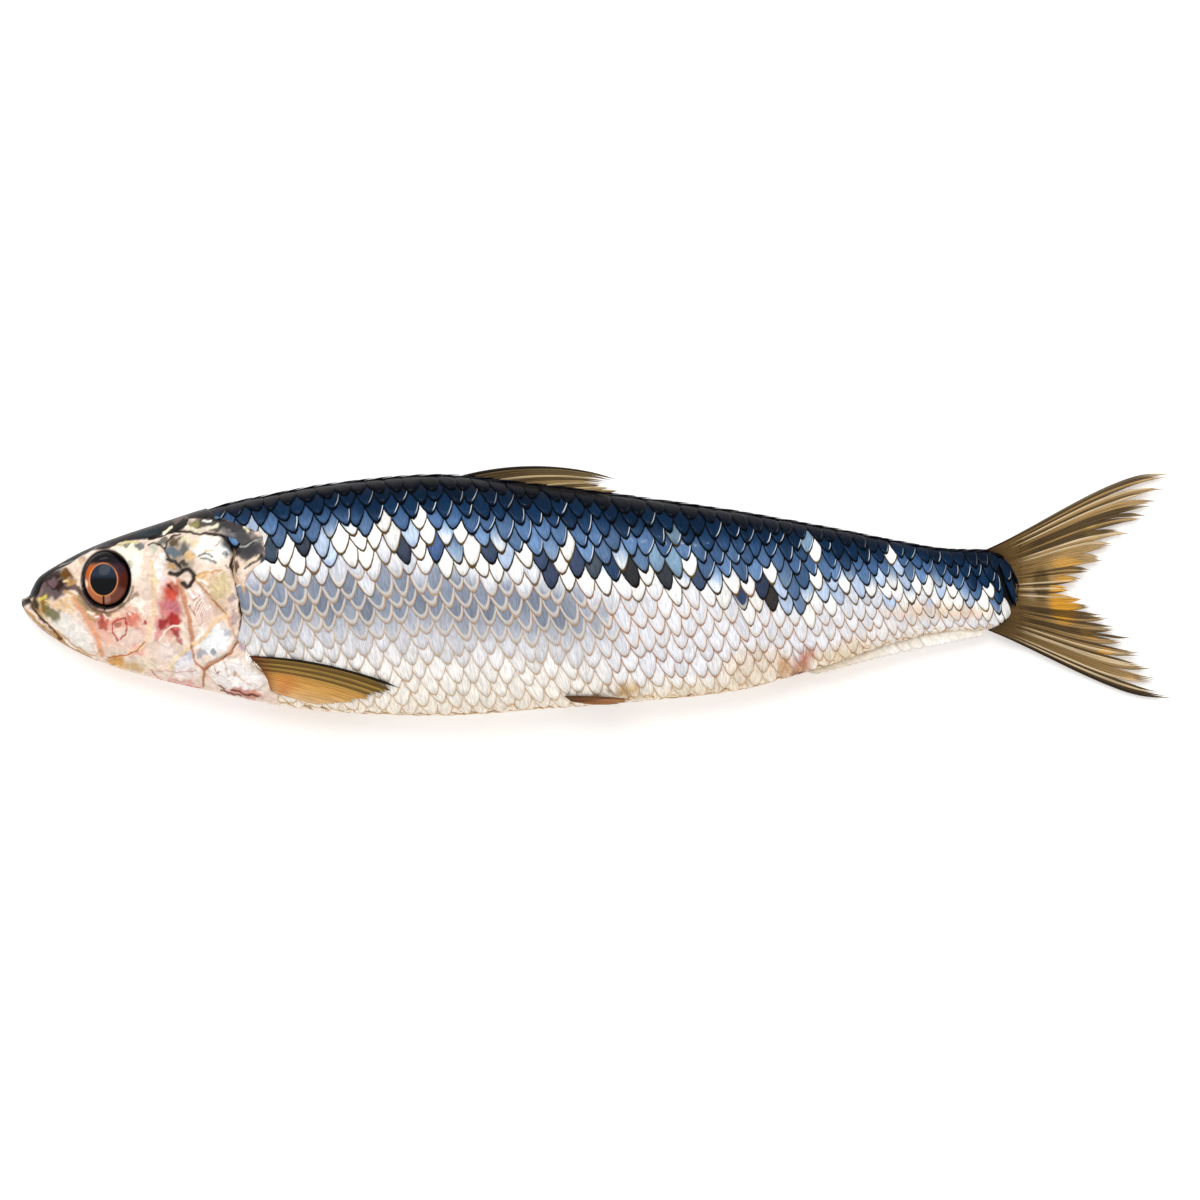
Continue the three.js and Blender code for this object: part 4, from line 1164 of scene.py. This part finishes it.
def make_clear_scales():
    material, tree, shader = new_material("clear_scales")
    spark, zone = (attribute(tree, name, "Fac") for name in ("spark", "zone"))
    flat, across, along = flat_map(tree, "scale")
    place = tree.nodes.new("ShaderNodeTexCoord")
    wobble = tree.nodes.new("ShaderNodeTexNoise")
    set_inputs(wobble, Scale=420)
    tree.links.new(place.outputs["Object"], wobble.inputs["Vector"])
    reach = tree.nodes.new("ShaderNodeVectorMath")
    reach.operation = "LENGTH"
    tree.links.new(flat, reach.inputs[0])
    shift = maths(tree, "MULTIPLY_ADD", wobble.outputs["Fac"], 0.12, -0.06)
    radius = maths(tree, "ADD", reach.outputs["Value"], shift)
    streaks = streaks_along(tree, flat, (6, 2.6, 1), 60.0, Distortion=0.8)
    streak = span(tree, streaks, 0.32, 0.68, 0.78, 1.16)
    colour = shade_colour(tree, attribute(tree, "face"), streak)

    # A pale ring inside the rim of the silver scales, the rim itself, and an arc of light on some.
    silver = between(tree, zone, 0.45, 0.7, 1.0, 1.2)
    inner = between(tree, radius, 0.7, 0.8, 0.88, 0.95)
    pale_ring = product(tree, inner, product(tree, silver, 0.66))
    colour = blend_colours(tree, pale_ring, colour, (0.90, 0.82, 0.73, 1))
    rim_starts = span(tree, zone, 1.0, 1.7, 0.88, 0.83)
    rim = span(tree, radius, rim_starts, maths(tree, "ADD", rim_starts, 0.08))
    colour = blend_colours(tree, rim, colour, attribute(tree, "edge"))
    slant = maths(tree, "MULTIPLY_ADD", across, 0.75, product(tree, along, 0.5))
    arc = between(tree, radius, 0.76, 0.81, 0.83, 0.88)
    glint = product(tree, product(tree, arc, span(tree, slant, 0.5, 0.75)), spark)
    colour = blend_colours(tree, glint, colour, (0.88, 0.92, 0.96, 1))
    tree.links.new(colour, shader.inputs["Base Color"])
    add_bump(tree, shader, streaks, 0.35, 0.0001)
    set_inputs(shader, Metallic=0.08, Roughness=0.36, Specular_IOR_Level=0.03, Coat_Weight=0.05,
               Coat_Roughness=0.08)
    return material


clear_scales = make_clear_scales()
for name, side, seed in (("scales_left", 1, 4), ("scales_right", -1, 9)):
    flank_scales = draw_scales(name, side, seed)
    flank_scales.data.materials.append(clear_scales)
    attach(flank_scales, "root")

# ---- Eyes ---------------------------------------------------------------------------------------
# A flattened ball in each socket under a clear, wet, domed front: a blue-black pupil, set a little
# forward in a copper iris, in a dark ring.

PUPIL = 0.55  # radii as a share of the ball's
IRIS = 0.87
PUPIL_FORWARD = 0.12
PUPIL_SHEEN = (42, 54, 70)  # of its upper half
PUPIL_GLOW = (230, 150, 90)  # the bright ring round it
IRIS_REAR = (106, 62, 54)
IRIS_FORE = (184, 116, 84)

# The iris's colours, one over the other: colour, centre and radius as shares of the ball's own.
IRIS_TINTS = (
    ((190, 110, 70), (-0.45, -0.5), 0.6),
    ((110, 50, 40), (0.72, 0.0), 0.5),
    ((150, 90, 75), (0.55, -0.6), 0.45),
    ((75, 50, 60), (0.5, 0.55), 0.5),
    ((200, 90, 20), (-0.74, 0.3), 0.34),
    ((255, 215, 180), (-0.92, -0.16), 0.22),
    ((180, 125, 110), (0.02, -0.66), 0.2),
)


def make_wet_eye():
    material, tree, shader = new_material("wet_eye")
    _, x, y = flat_map(tree, "front")
    from_pupil = maths(tree, "ADD", x, PUPIL_FORWARD)

    def reach(across, up=0.0):
        raised = maths(tree, "SUBTRACT", y, up)
        square = maths(tree, "ADD", product(tree, across, across), product(tree, raised, raised))
        return maths(tree, "SQRT", square)

    inner, outer = reach(from_pupil), reach(x)
    iris_starts, iris_full = PUPIL + 0.03, PUPIL + 0.08
    colour = blend_colours(tree, span(tree, x, -0.3, 0.5), painted(IRIS_FORE), painted(IRIS_REAR))
    for rgb, (across, up), radius in IRIS_TINTS:
        near = span(tree, reach(maths(tree, "SUBTRACT", x, across), up), radius * 0.45, radius, 0.9, 0.0)
        colour = blend_colours(tree, near, colour, painted(rgb))
    glow = span(tree, inner, iris_starts, iris_full, 0.85, 0.0)
    glow = product(tree, glow, span(tree, y, 0.2, 0.5, 1.0, 0.3))
    colour = blend_colours(tree, glow, colour, painted(PUPIL_GLOW))
    brow = product(tree, span(tree, y, 0.42, 0.66), span(tree, inner, iris_starts, iris_full))
    colour = blend_colours(tree, brow, colour, (0.008, 0.006, 0.008, 1))
    pupil = blend_colours(tree, span(tree, y, -0.02, 0.2), (0.003, 0.004, 0.005, 1), painted(PUPIL_SHEEN))
    colour = blend_colours(tree, span(tree, inner, PUPIL - 0.01, PUPIL + 0.02), pupil, colour)
    ring = span(tree, outer, IRIS - 0.02, IRIS + 0.03)
    colour = blend_colours(tree, ring, colour, (0.006, 0.004, 0.005, 1))
    cleft = span(tree, maths(tree, "ABSOLUTE", from_pupil), 0.02, 0.06, 1.0, 0.0)
    cleft = product(tree, cleft, span(tree, y, -0.62, -0.5, 1.0, 0.0))
    colour = blend_colours(tree, cleft, colour, (0.01, 0.006, 0.006, 1))
    tree.links.new(colour, shader.inputs["Base Color"])
    set_inputs(shader, Roughness=0.3, Specular_IOR_Level=0.03, Coat_Weight=0.22, Coat_Roughness=0.03)
    return material


wet_eye = make_wet_eye()
for name, side in (("eye_left", 1), ("eye_right", -1)):
    eye_bm = bmesh.new()
    bmesh.ops.create_uvsphere(eye_bm, u_segments=72, v_segments=48, radius=1)
    at = np.array([v.co for v in eye_bm.verts])
    from_middle = np.hypot(at[:, 0], at[:, 1])
    hollow = 0.1 * bell(from_middle, 0.72, 0.12) * (at[:, 2] * side > 0)
    (eye_s, eye_h), (half_length, half_height) = EYE["centre"], EYE["radii"]
    cheek = float(middle_height(eye_s)) + side * float(half_width(eye_s, eye_h))
    points = np.column_stack([
        eye_s + at[:, 0] * half_length,
        eye_h + at[:, 1] * half_height,
        cheek - side * EYE["sunk"] + at[:, 2] * EYE["depth"] * (1 - hollow),
    ])
    eye = piece_from(f"{name}_ball", eye_bm, points, uv=("front", at[:, :2]))
    eye.data.materials.append(wet_eye)
    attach(eye, "root")
    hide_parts(name)

# ---- Tail fin -----------------------------------------------------------------------------------
# A forked fan of soft rays, which split towards their tips, with thin skin between them. A ray is one
# long blade here, as wide as its share of the skin, and the blades part where the skin is frayed.


# Faces over a blade's width; how much it narrows and thins to its tip; how far its tip moves towards
# the others of its clump.
BLADE = {"across": 4, "narrows": 0.96, "thins": 0.6, "gathers": 0.55}


def blade_pattern(steps):
    """One blade, flat: from -1 to 1 along and across, with an upper and a lower face and a rim."""
    bm = bmesh.new()
    bmesh.ops.create_grid(bm, x_segments=steps, y_segments=BLADE["across"], size=1)
    lower = bmesh.ops.extrude_face_region(bm, geom=list(bm.faces))["geom"]
    bmesh.ops.translate(bm, verts=[v for v in lower if isinstance(v, bmesh.types.BMVert)], vec=(0, 0, -1))
    bmesh.ops.recalc_face_normals(bm, faces=bm.faces)
    return mesh_from("blade_pattern", bm)


def along_line(points, f):
    x, y = np.array(points, float).T
    k = np.linspace(0, 1, len(points))
    return np.stack([np.interp(f, k, x), np.interp(f, k, y)], -1)


def even_bow(v):
    return 4 * v * (1 - v)


def late_bow(v):
    return 27 / 4 * v * v * (1 - v)


def draw_fin(name, node, fin, lie, paint, material, seed, side=1):
    rng = np.random.default_rng(seed)
    pattern = blade_pattern(fin["steps"])
    local = np.array([v.co for v in pattern.vertices])
    count, corners = fin["rays"], len(local)
    bm = bmesh.new()
    for _ in range(count):
        bm.from_mesh(pattern)
    if side < 0:
        bmesh.ops.reverse_faces(bm, faces=bm.faces)
    bpy.data.meshes.remove(pattern)

    def each(low, high):
        return np.repeat(rng.uniform(low, high, (count, 1)), corners, 1)

    v = np.repeat((local[:, 0][None, :] + 1) / 2, count, 0)
    u = np.repeat(local[:, 1][None, :], count, 0)
    layer = np.repeat(local[:, 2][None, :], count, 0)
    f0 = np.repeat((np.arange(count)[:, None] + 0.5) / count, corners, 1)
    reach = 1 + each(-fin["uneven"], fin["uneven"] * 0.5)
    split = fin["split"] + each(-0.1, 0.08)
    narrow = np.where(v <= 0, 0.9, 1 - BLADE["narrows"] * smooth(v, split, 1.0) ** 1.3)
    clump = (np.floor(f0 * count / fin["clump"]) + 0.5) * fin["clump"] / count
    f = f0 + (clump - f0) * BLADE["gathers"] * smooth(v, split - 0.1, 1)
    f = np.clip(f + u * narrow * fin["overlap"] / 2 / count, 0, 1)
    v_reached = (v * reach)[..., None]
    flat = along_line(fin["root"], f) * (1 - v_reached) + along_line(fin["tips"], f) * v_reached
    s = flat[..., 0]
    h = flat[..., 1] + fin["bow"](f) * fin["bowed"](v * reach)
    thick = fin["thick"] * (1 - BLADE["thins"] * v)
    ridges = 0.5 + 0.5 * np.cos(u * math.pi)
    z = lie(s, h, v) + side * thick * (0.35 + 0.4 * ridges * (layer > -0.5) + layer)
    points = np.stack([s, h, np.maximum(z, 0.02)], -1).reshape(-1, 3)
    luck = each(0, 1).ravel()
    colour = paint(f0.ravel(), v.ravel(), luck, s.ravel(), h.ravel())
    flat_uv = np.column_stack([u.ravel(), v.ravel()])
    piece = piece_from(name, bm, points, {"tint": colour, "luck": luck}, ("ray", flat_uv))
    piece.data.materials.append(material)
    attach(piece, "root")
    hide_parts(node)


def make_fin_material(name, lines, contrast, gap_shade):
    """Wet fin: painted shade in the gaps between rays, fine streaks along them, and a soft gloss."""
    material, tree, shader = new_material(name)
    flat, across, _ = flat_map(tree, "ray")
    streaks = streaks_along(tree, flat, (lines, 3.0, 1), 50.0, Roughness=0.65)
    # Painted shade: each blade darkens towards its edges, where it meets the next.
    gap = span(tree, maths(tree, "ABSOLUTE", across), 0.62, 0.95, 1.0, 1 - gap_shade)
    streak = span(tree, streaks, 0.33, 0.67, 1 - contrast, 1 + contrast * 0.6)
    tone = product(tree, streak, gap)
    tree.links.new(shade_colour(tree, attribute(tree, "tint"), tone), shader.inputs["Base Color"])
    add_bump(tree, shader, streaks, 0.5, 0.0001)
    set_inputs(shader, Roughness=0.45, Specular_IOR_Level=0.08, Coat_Weight=0.06, Coat_Roughness=0.15)
    return material


amber_rays = make_fin_material("amber_rays", 3.4, 0.6, 0.5)

TAIL_FIN = {
    "root": ((150.6, 6.3), (153.2, 4.0), (154.0, 0), (153.2, -4.0), (151.0, -6.3)),
    "tips": (
        (179.7, 18.8), (177.2, 13.8), (172.3, 8.4), (168.0, 3.4),
        (163.8, 0.1),
        (168.0, -3.0), (172.8, -7.3), (177.0, -12.2), (180.1, -17.6),
    ),
    "bow": lambda f: np.where(f < 0.5, 1.7, 1.3) * (1 - 2 * f),
    "bowed": late_bow,
    "rays": 76, "steps": 30, "clump": 4, "overlap": 1.2,
    "thick": 0.3, "uneven": 0.08, "split": 0.78,
}


TAIL_SAG = 0.75
TAIL_WAVE = 0.22


def tail_lie(s, h, v):
    sag = TAIL_SAG * smooth(s, TRUNK_END, 178)
    return middle_height(s) - sag + TAIL_WAVE * np.sin(h * 0.55) * smooth(s, TRUNK_END, 168)


# Colours of the tail, in pixels of the photograph, as for the head.
TAIL_PATCHES = {
    "gold in the fork": ((225, 160, 40), 0.85, (1066.5, 599.5), (16.5, 26.5), 0),
    "gold over the fork": ((215, 160, 75), 0.8, (1069, 563), (16, 6), 0),
    "gold under the fork": ((220, 165, 75), 0.8, (1090, 634), (11, 4), -20),
    "olive-brown of the root": ((95, 75, 35), 0.85, (1042.5, 585), (9.5, 19), 0),
    "grey-beige mark": ((160, 138, 112), 0.8, (1033.5, 594.5), (5, 5.5), 0),
    "pale gold of the upper lobe": ((215, 175, 100), 0.8, (1094.5, 531.5), (8.5, 8.5), 0),
    "gold of the lower lobe": ((220, 160, 60), 0.8, (1106.5, 652.5), (8.5, 4.5), 0),
    "gold by the lower tip": ((215, 160, 90), 0.8, (1131.5, 682), (7.5, 6), 0),
}


def paint_tail(f, v, luck, s, h):
    colour = ramp(((0.0, (88, 66, 36)), (0.2, (138, 108, 62)), (0.5, (170, 136, 84)), (0.78, (178, 144, 94)),
                   (0.92, (188, 158, 114)), (1.0, (206, 182, 148))), v)
    lay(colour, 0.35 * smooth(f, 0.5, 0.62), (100, 78, 50))
    lay_patches(colour, TAIL_PATCHES, s, h)
    dark_rays, pale_rays = 0.8 * (luck < 0.3), 0.7 * (luck > 0.82)
    lay(colour, dark_rays * smooth(v, 0.05, 0.3) * (1 - smooth(v, 0.85, 1)), (64, 48, 27))
    lay(colour, pale_rays * smooth(v, 0.1, 0.3) * (1 - smooth(v, 0.9, 1)), (226, 202, 164))
    edge = np.minimum(f, 1 - f)
    lay(colour, 0.85 * (1 - smooth(edge, 0.0, 0.03)) * (1 - smooth(v, 0.8, 1)), (34, 25, 16))
    return colour


draw_fin("tail_rays", "tail_fin", TAIL_FIN, tail_lie, paint_tail, amber_rays, 21)

# ---- Dorsal fin ---------------------------------------------------------------------------------
# Soft tan rays behind one dark leading ray, folded back along the ridge in which they are rooted.

DORSAL_FIN = {
    "root": ((66.0, 17.0), (84.5, 14.8)),
    "tips": ((93.3, 17.3), (91.8, 16.8), (90.2, 16.5), (93.7, 15.2)),
    "bow": lambda f: 2.15 * (1 - f) ** 2,
    "bowed": even_bow,
    "rays": 16, "steps": 24, "clump": 2, "overlap": 1.2,
    "thick": 0.3, "uneven": 0.03, "split": 0.84,
}


def paint_dorsal(f, v, luck, s, h):
    colour = ramp(((0.0, (104, 82, 48)), (0.5, (162, 134, 86)), (0.85, (188, 160, 110)),
                   (1.0, (198, 176, 134))), v)
    dark_rays, pale_rays = 0.75 * (luck < 0.35), 0.6 * (luck > 0.7)
    leading_ray = 0.95 * (1 - smooth(f, 0.06, 0.14))
    lay(colour, dark_rays, (72, 54, 30))
    lay(colour, pale_rays, (222, 200, 156))
    lay(colour, leading_ray, (20, 15, 12))
    return colour


draw_fin("dorsal_rays", "dorsal_fin", DORSAL_FIN, lambda s, h, v: middle_height(s), paint_dorsal,
         amber_rays, 5)

# ---- Anal fin -----------------------------------------------------------------------------------
# A low, clear, cream fringe of short rays, folded against the belly's edge from the vent to the tail.

ANAL_FIN = {
    "root": ((120.0, -11.8), (136.0, -6.9), (149.0, -4.7)),
    "tips": ((124.0, -13.2), (134.0, -10.6), (142.0, -8.9), (150.4, -7.2)),
    "bow": lambda f: 0 * f,
    "bowed": even_bow,
    "rays": 26, "steps": 8, "clump": 1, "overlap": 2.2,
    "thick": 0.2, "uneven": 0.01, "split": 0.95,
}


def paint_anal(f, v, luck, s, h):
    colour = ramp(((0.0, (228, 208, 182)), (0.4, (238, 228, 214)), (1.0, (246, 243, 238))), v)
    lay(colour, 0.45 * (1 - smooth(f, 0.1, 0.45)), (214, 182, 126))
    lay(colour, 0.25 * (luck < 0.4), (218, 200, 176))
    return colour


cream_rays = make_fin_material("cream_rays", 1.6, 0.16, 0.12)
draw_fin("anal_rays", "anal_fin", ANAL_FIN, lambda s, h, v: middle_height(s) + 0.12 * np.sin(s),
         paint_anal, cream_rays, 8)

# ---- Pectoral fins ------------------------------------------------------------------------------
# One behind each gill cover, lying back against the flank: amber skin on dark upper rays, with a
# blood-red base rooted in the shoulder.

PECTORAL_FIN = {
    "root": ((33.8, -10.2), (36.8, -12.8), (38.4, -15.4)),
    "tips": ((59.3, -15.0), (56.2, -16.4), (52.0, -17.4), (47.0, -18.0)),
    "bow": lambda f: 1.3 + (-0.15 - 1.3) * f,
    "bowed": even_bow,
    "rays": 17, "steps": 24, "clump": 1, "overlap": 1.25,
    "thick": 0.28, "uneven": 0.03, "split": 0.92,
}


def hugging(side, sink, lift):
    """Lies against a flank: the root sunk under the skin, and the blade just off it."""
    def lie(s, h, v):
        inward = np.clip(h, profile(s, 2) + 0.9, profile(s, 1))
        flank = middle_height(s) + side * (half_width(s, inward) + head_relief(s, inward) * (s < HEAD_END))
        off = -sink + (lift + sink) * smooth(v, 0, 0.16)
        return flank + side * (off + 0.5 * (inward - h))
    return lie


def paint_pectoral(f, v, luck, s, h):
    colour = ramp(((0.0, (90, 66, 28)), (0.12, (150, 118, 58)), (0.38, (176, 138, 72)),
                   (0.55, (220, 164, 84)), (0.8, (228, 176, 106)), (1.0, (231, 188, 134))), f)
    every_other_upper_ray = 0.7 * (np.mod(f * PECTORAL_FIN["rays"], 2) < 1) * (f < 0.45)
    leading_edge = 0.95 * (1 - smooth(f, 0.03, 0.08))
    blood_at_the_base = 0.85 * (1 - smooth(v, 0.05, 0.24))
    orange_past_it = 0.6 * bell(v, 0.3, 0.12) * smooth(f, 0.3, 0.6)
    pale_tips = 0.5 * smooth(v, 0.7, 1) * smooth(f, 0.5, 1)
    lay(colour, every_other_upper_ray, (78, 56, 22))
    lay(colour, leading_edge, (26, 20, 12))
    lay(colour, blood_at_the_base, (112, 44, 28))
    lay(colour, orange_past_it, (212, 122, 56))
    lay(colour, pale_tips, (230, 196, 146))
    return colour


amber_web = make_fin_material("amber_web", 3.0, 0.4, 0.3)
for side, label in ((1, "left"), (-1, "right")):
    draw_fin(f"pectoral_rays_{label}", f"pectoral_fin_{label}", PECTORAL_FIN, hugging(side, 1.0, 0.3),
             paint_pectoral, amber_web, 31, side)

# ---- Pelvic fins --------------------------------------------------------------------------------
# A short brown pair under the belly's edge, folded shut and lying back along it.

PELVIC_FIN = {
    "root": ((83.8, -16.5), (85.2, -17.2)),
    "tips": ((95.8, -17.0), (94.4, -17.5), (92.6, -17.8)),
    "bow": lambda f: 0.25 - 0.5 * f,
    "bowed": even_bow,
    "rays": 8, "steps": 16, "clump": 1, "overlap": 1.3,
    "thick": 0.25, "uneven": 0.03, "split": 0.88,
}


def paint_pelvic(f, v, luck, s, h):
    colour = ramp(((0.0, (112, 68, 38)), (0.5, (152, 104, 66)), (1.0, (176, 128, 84))), v)
    lay(colour, 0.6 * (1 - smooth(f, 0.1, 0.3)), (70, 42, 26))
    return colour


for side, label in ((1, "left"), (-1, "right")):
    draw_fin(f"pelvic_rays_{label}", f"pelvic_fin_{label}", PELVIC_FIN, hugging(side, 0.9, 0.3),
             paint_pelvic, amber_rays, 37, side)

# ---- Floor, light and camera --------------------------------------------------------------------
# A seamless white light table, which glows a little, under a broad soft light and a small lamp, both
# from beyond the fish's back, and straight above it the camera, which frames the fish as the
# photograph does.

PICTURE_WIDTH = 1200
PICTURE_CENTRE = (600, 600)
LENS = 300
SENSOR = 36

floor_bm = bmesh.new()
bmesh.ops.create_grid(floor_bm, x_segments=1, y_segments=1, size=2)
table_top = add_object("table_top", mesh_from("table_top", floor_bm))
white_table, _, shader = new_material("white_table")
set_inputs(shader, Base_Color=(0.95, 0.95, 0.95, 1), Roughness=0.9, Specular_IOR_Level=0.0)
set_inputs(shader, Emission_Color=(1.0, 0.955, 0.92, 1), Emission_Strength=0.26)
table_top.data.materials.append(white_table)


def add_lamp(name, kind, energy, size, place):
    """A lamp at a place, in metres, aimed at the middle of the fish."""
    light = bpy.data.lights.new(name, kind)
    light.energy = energy
    if kind == "SUN":
        light.angle = size
    else:
        light.shape = "DISK"
        light.size = size
    lamp = add_object(name, light)
    lamp.location = place
    x, y, z = place
    lamp.rotation_euler = (math.atan2(math.hypot(x, y), z), 0, math.atan2(-y, -x) - math.pi / 2)


add_lamp("broad_window", "SUN", 1.45, math.radians(40), (-0.16, 0.5, 0.85))
add_lamp("small_lamp", "AREA", 0.6, 0.05, (0.2, 0.5, 0.6))
world = bpy.data.worlds.new("white_room")
world.use_nodes = True
set_inputs(world.node_tree.nodes["Background"], Color=(1, 1, 1, 1), Strength=0.74)
bpy.context.scene.world = world

camera_data = bpy.data.cameras.new("camera")
camera_data.lens = LENS
camera_data.sensor_width = SENSOR
camera_data.clip_end = 20
camera = add_object("camera", camera_data)
centre_s, centre_h = on_fish(PICTURE_CENTRE)
focus_height = 0.75 * WIDEST * MM
distance = PICTURE_WIDTH * PIXEL * MM * LENS / SENSOR
camera.location = (SNOUT_X + centre_s * MM, (centre_h + AXIS_Y) * MM, focus_height + distance)
bpy.context.scene.camera = camera
bpy.context.scene.view_settings.view_transform = "Standard"
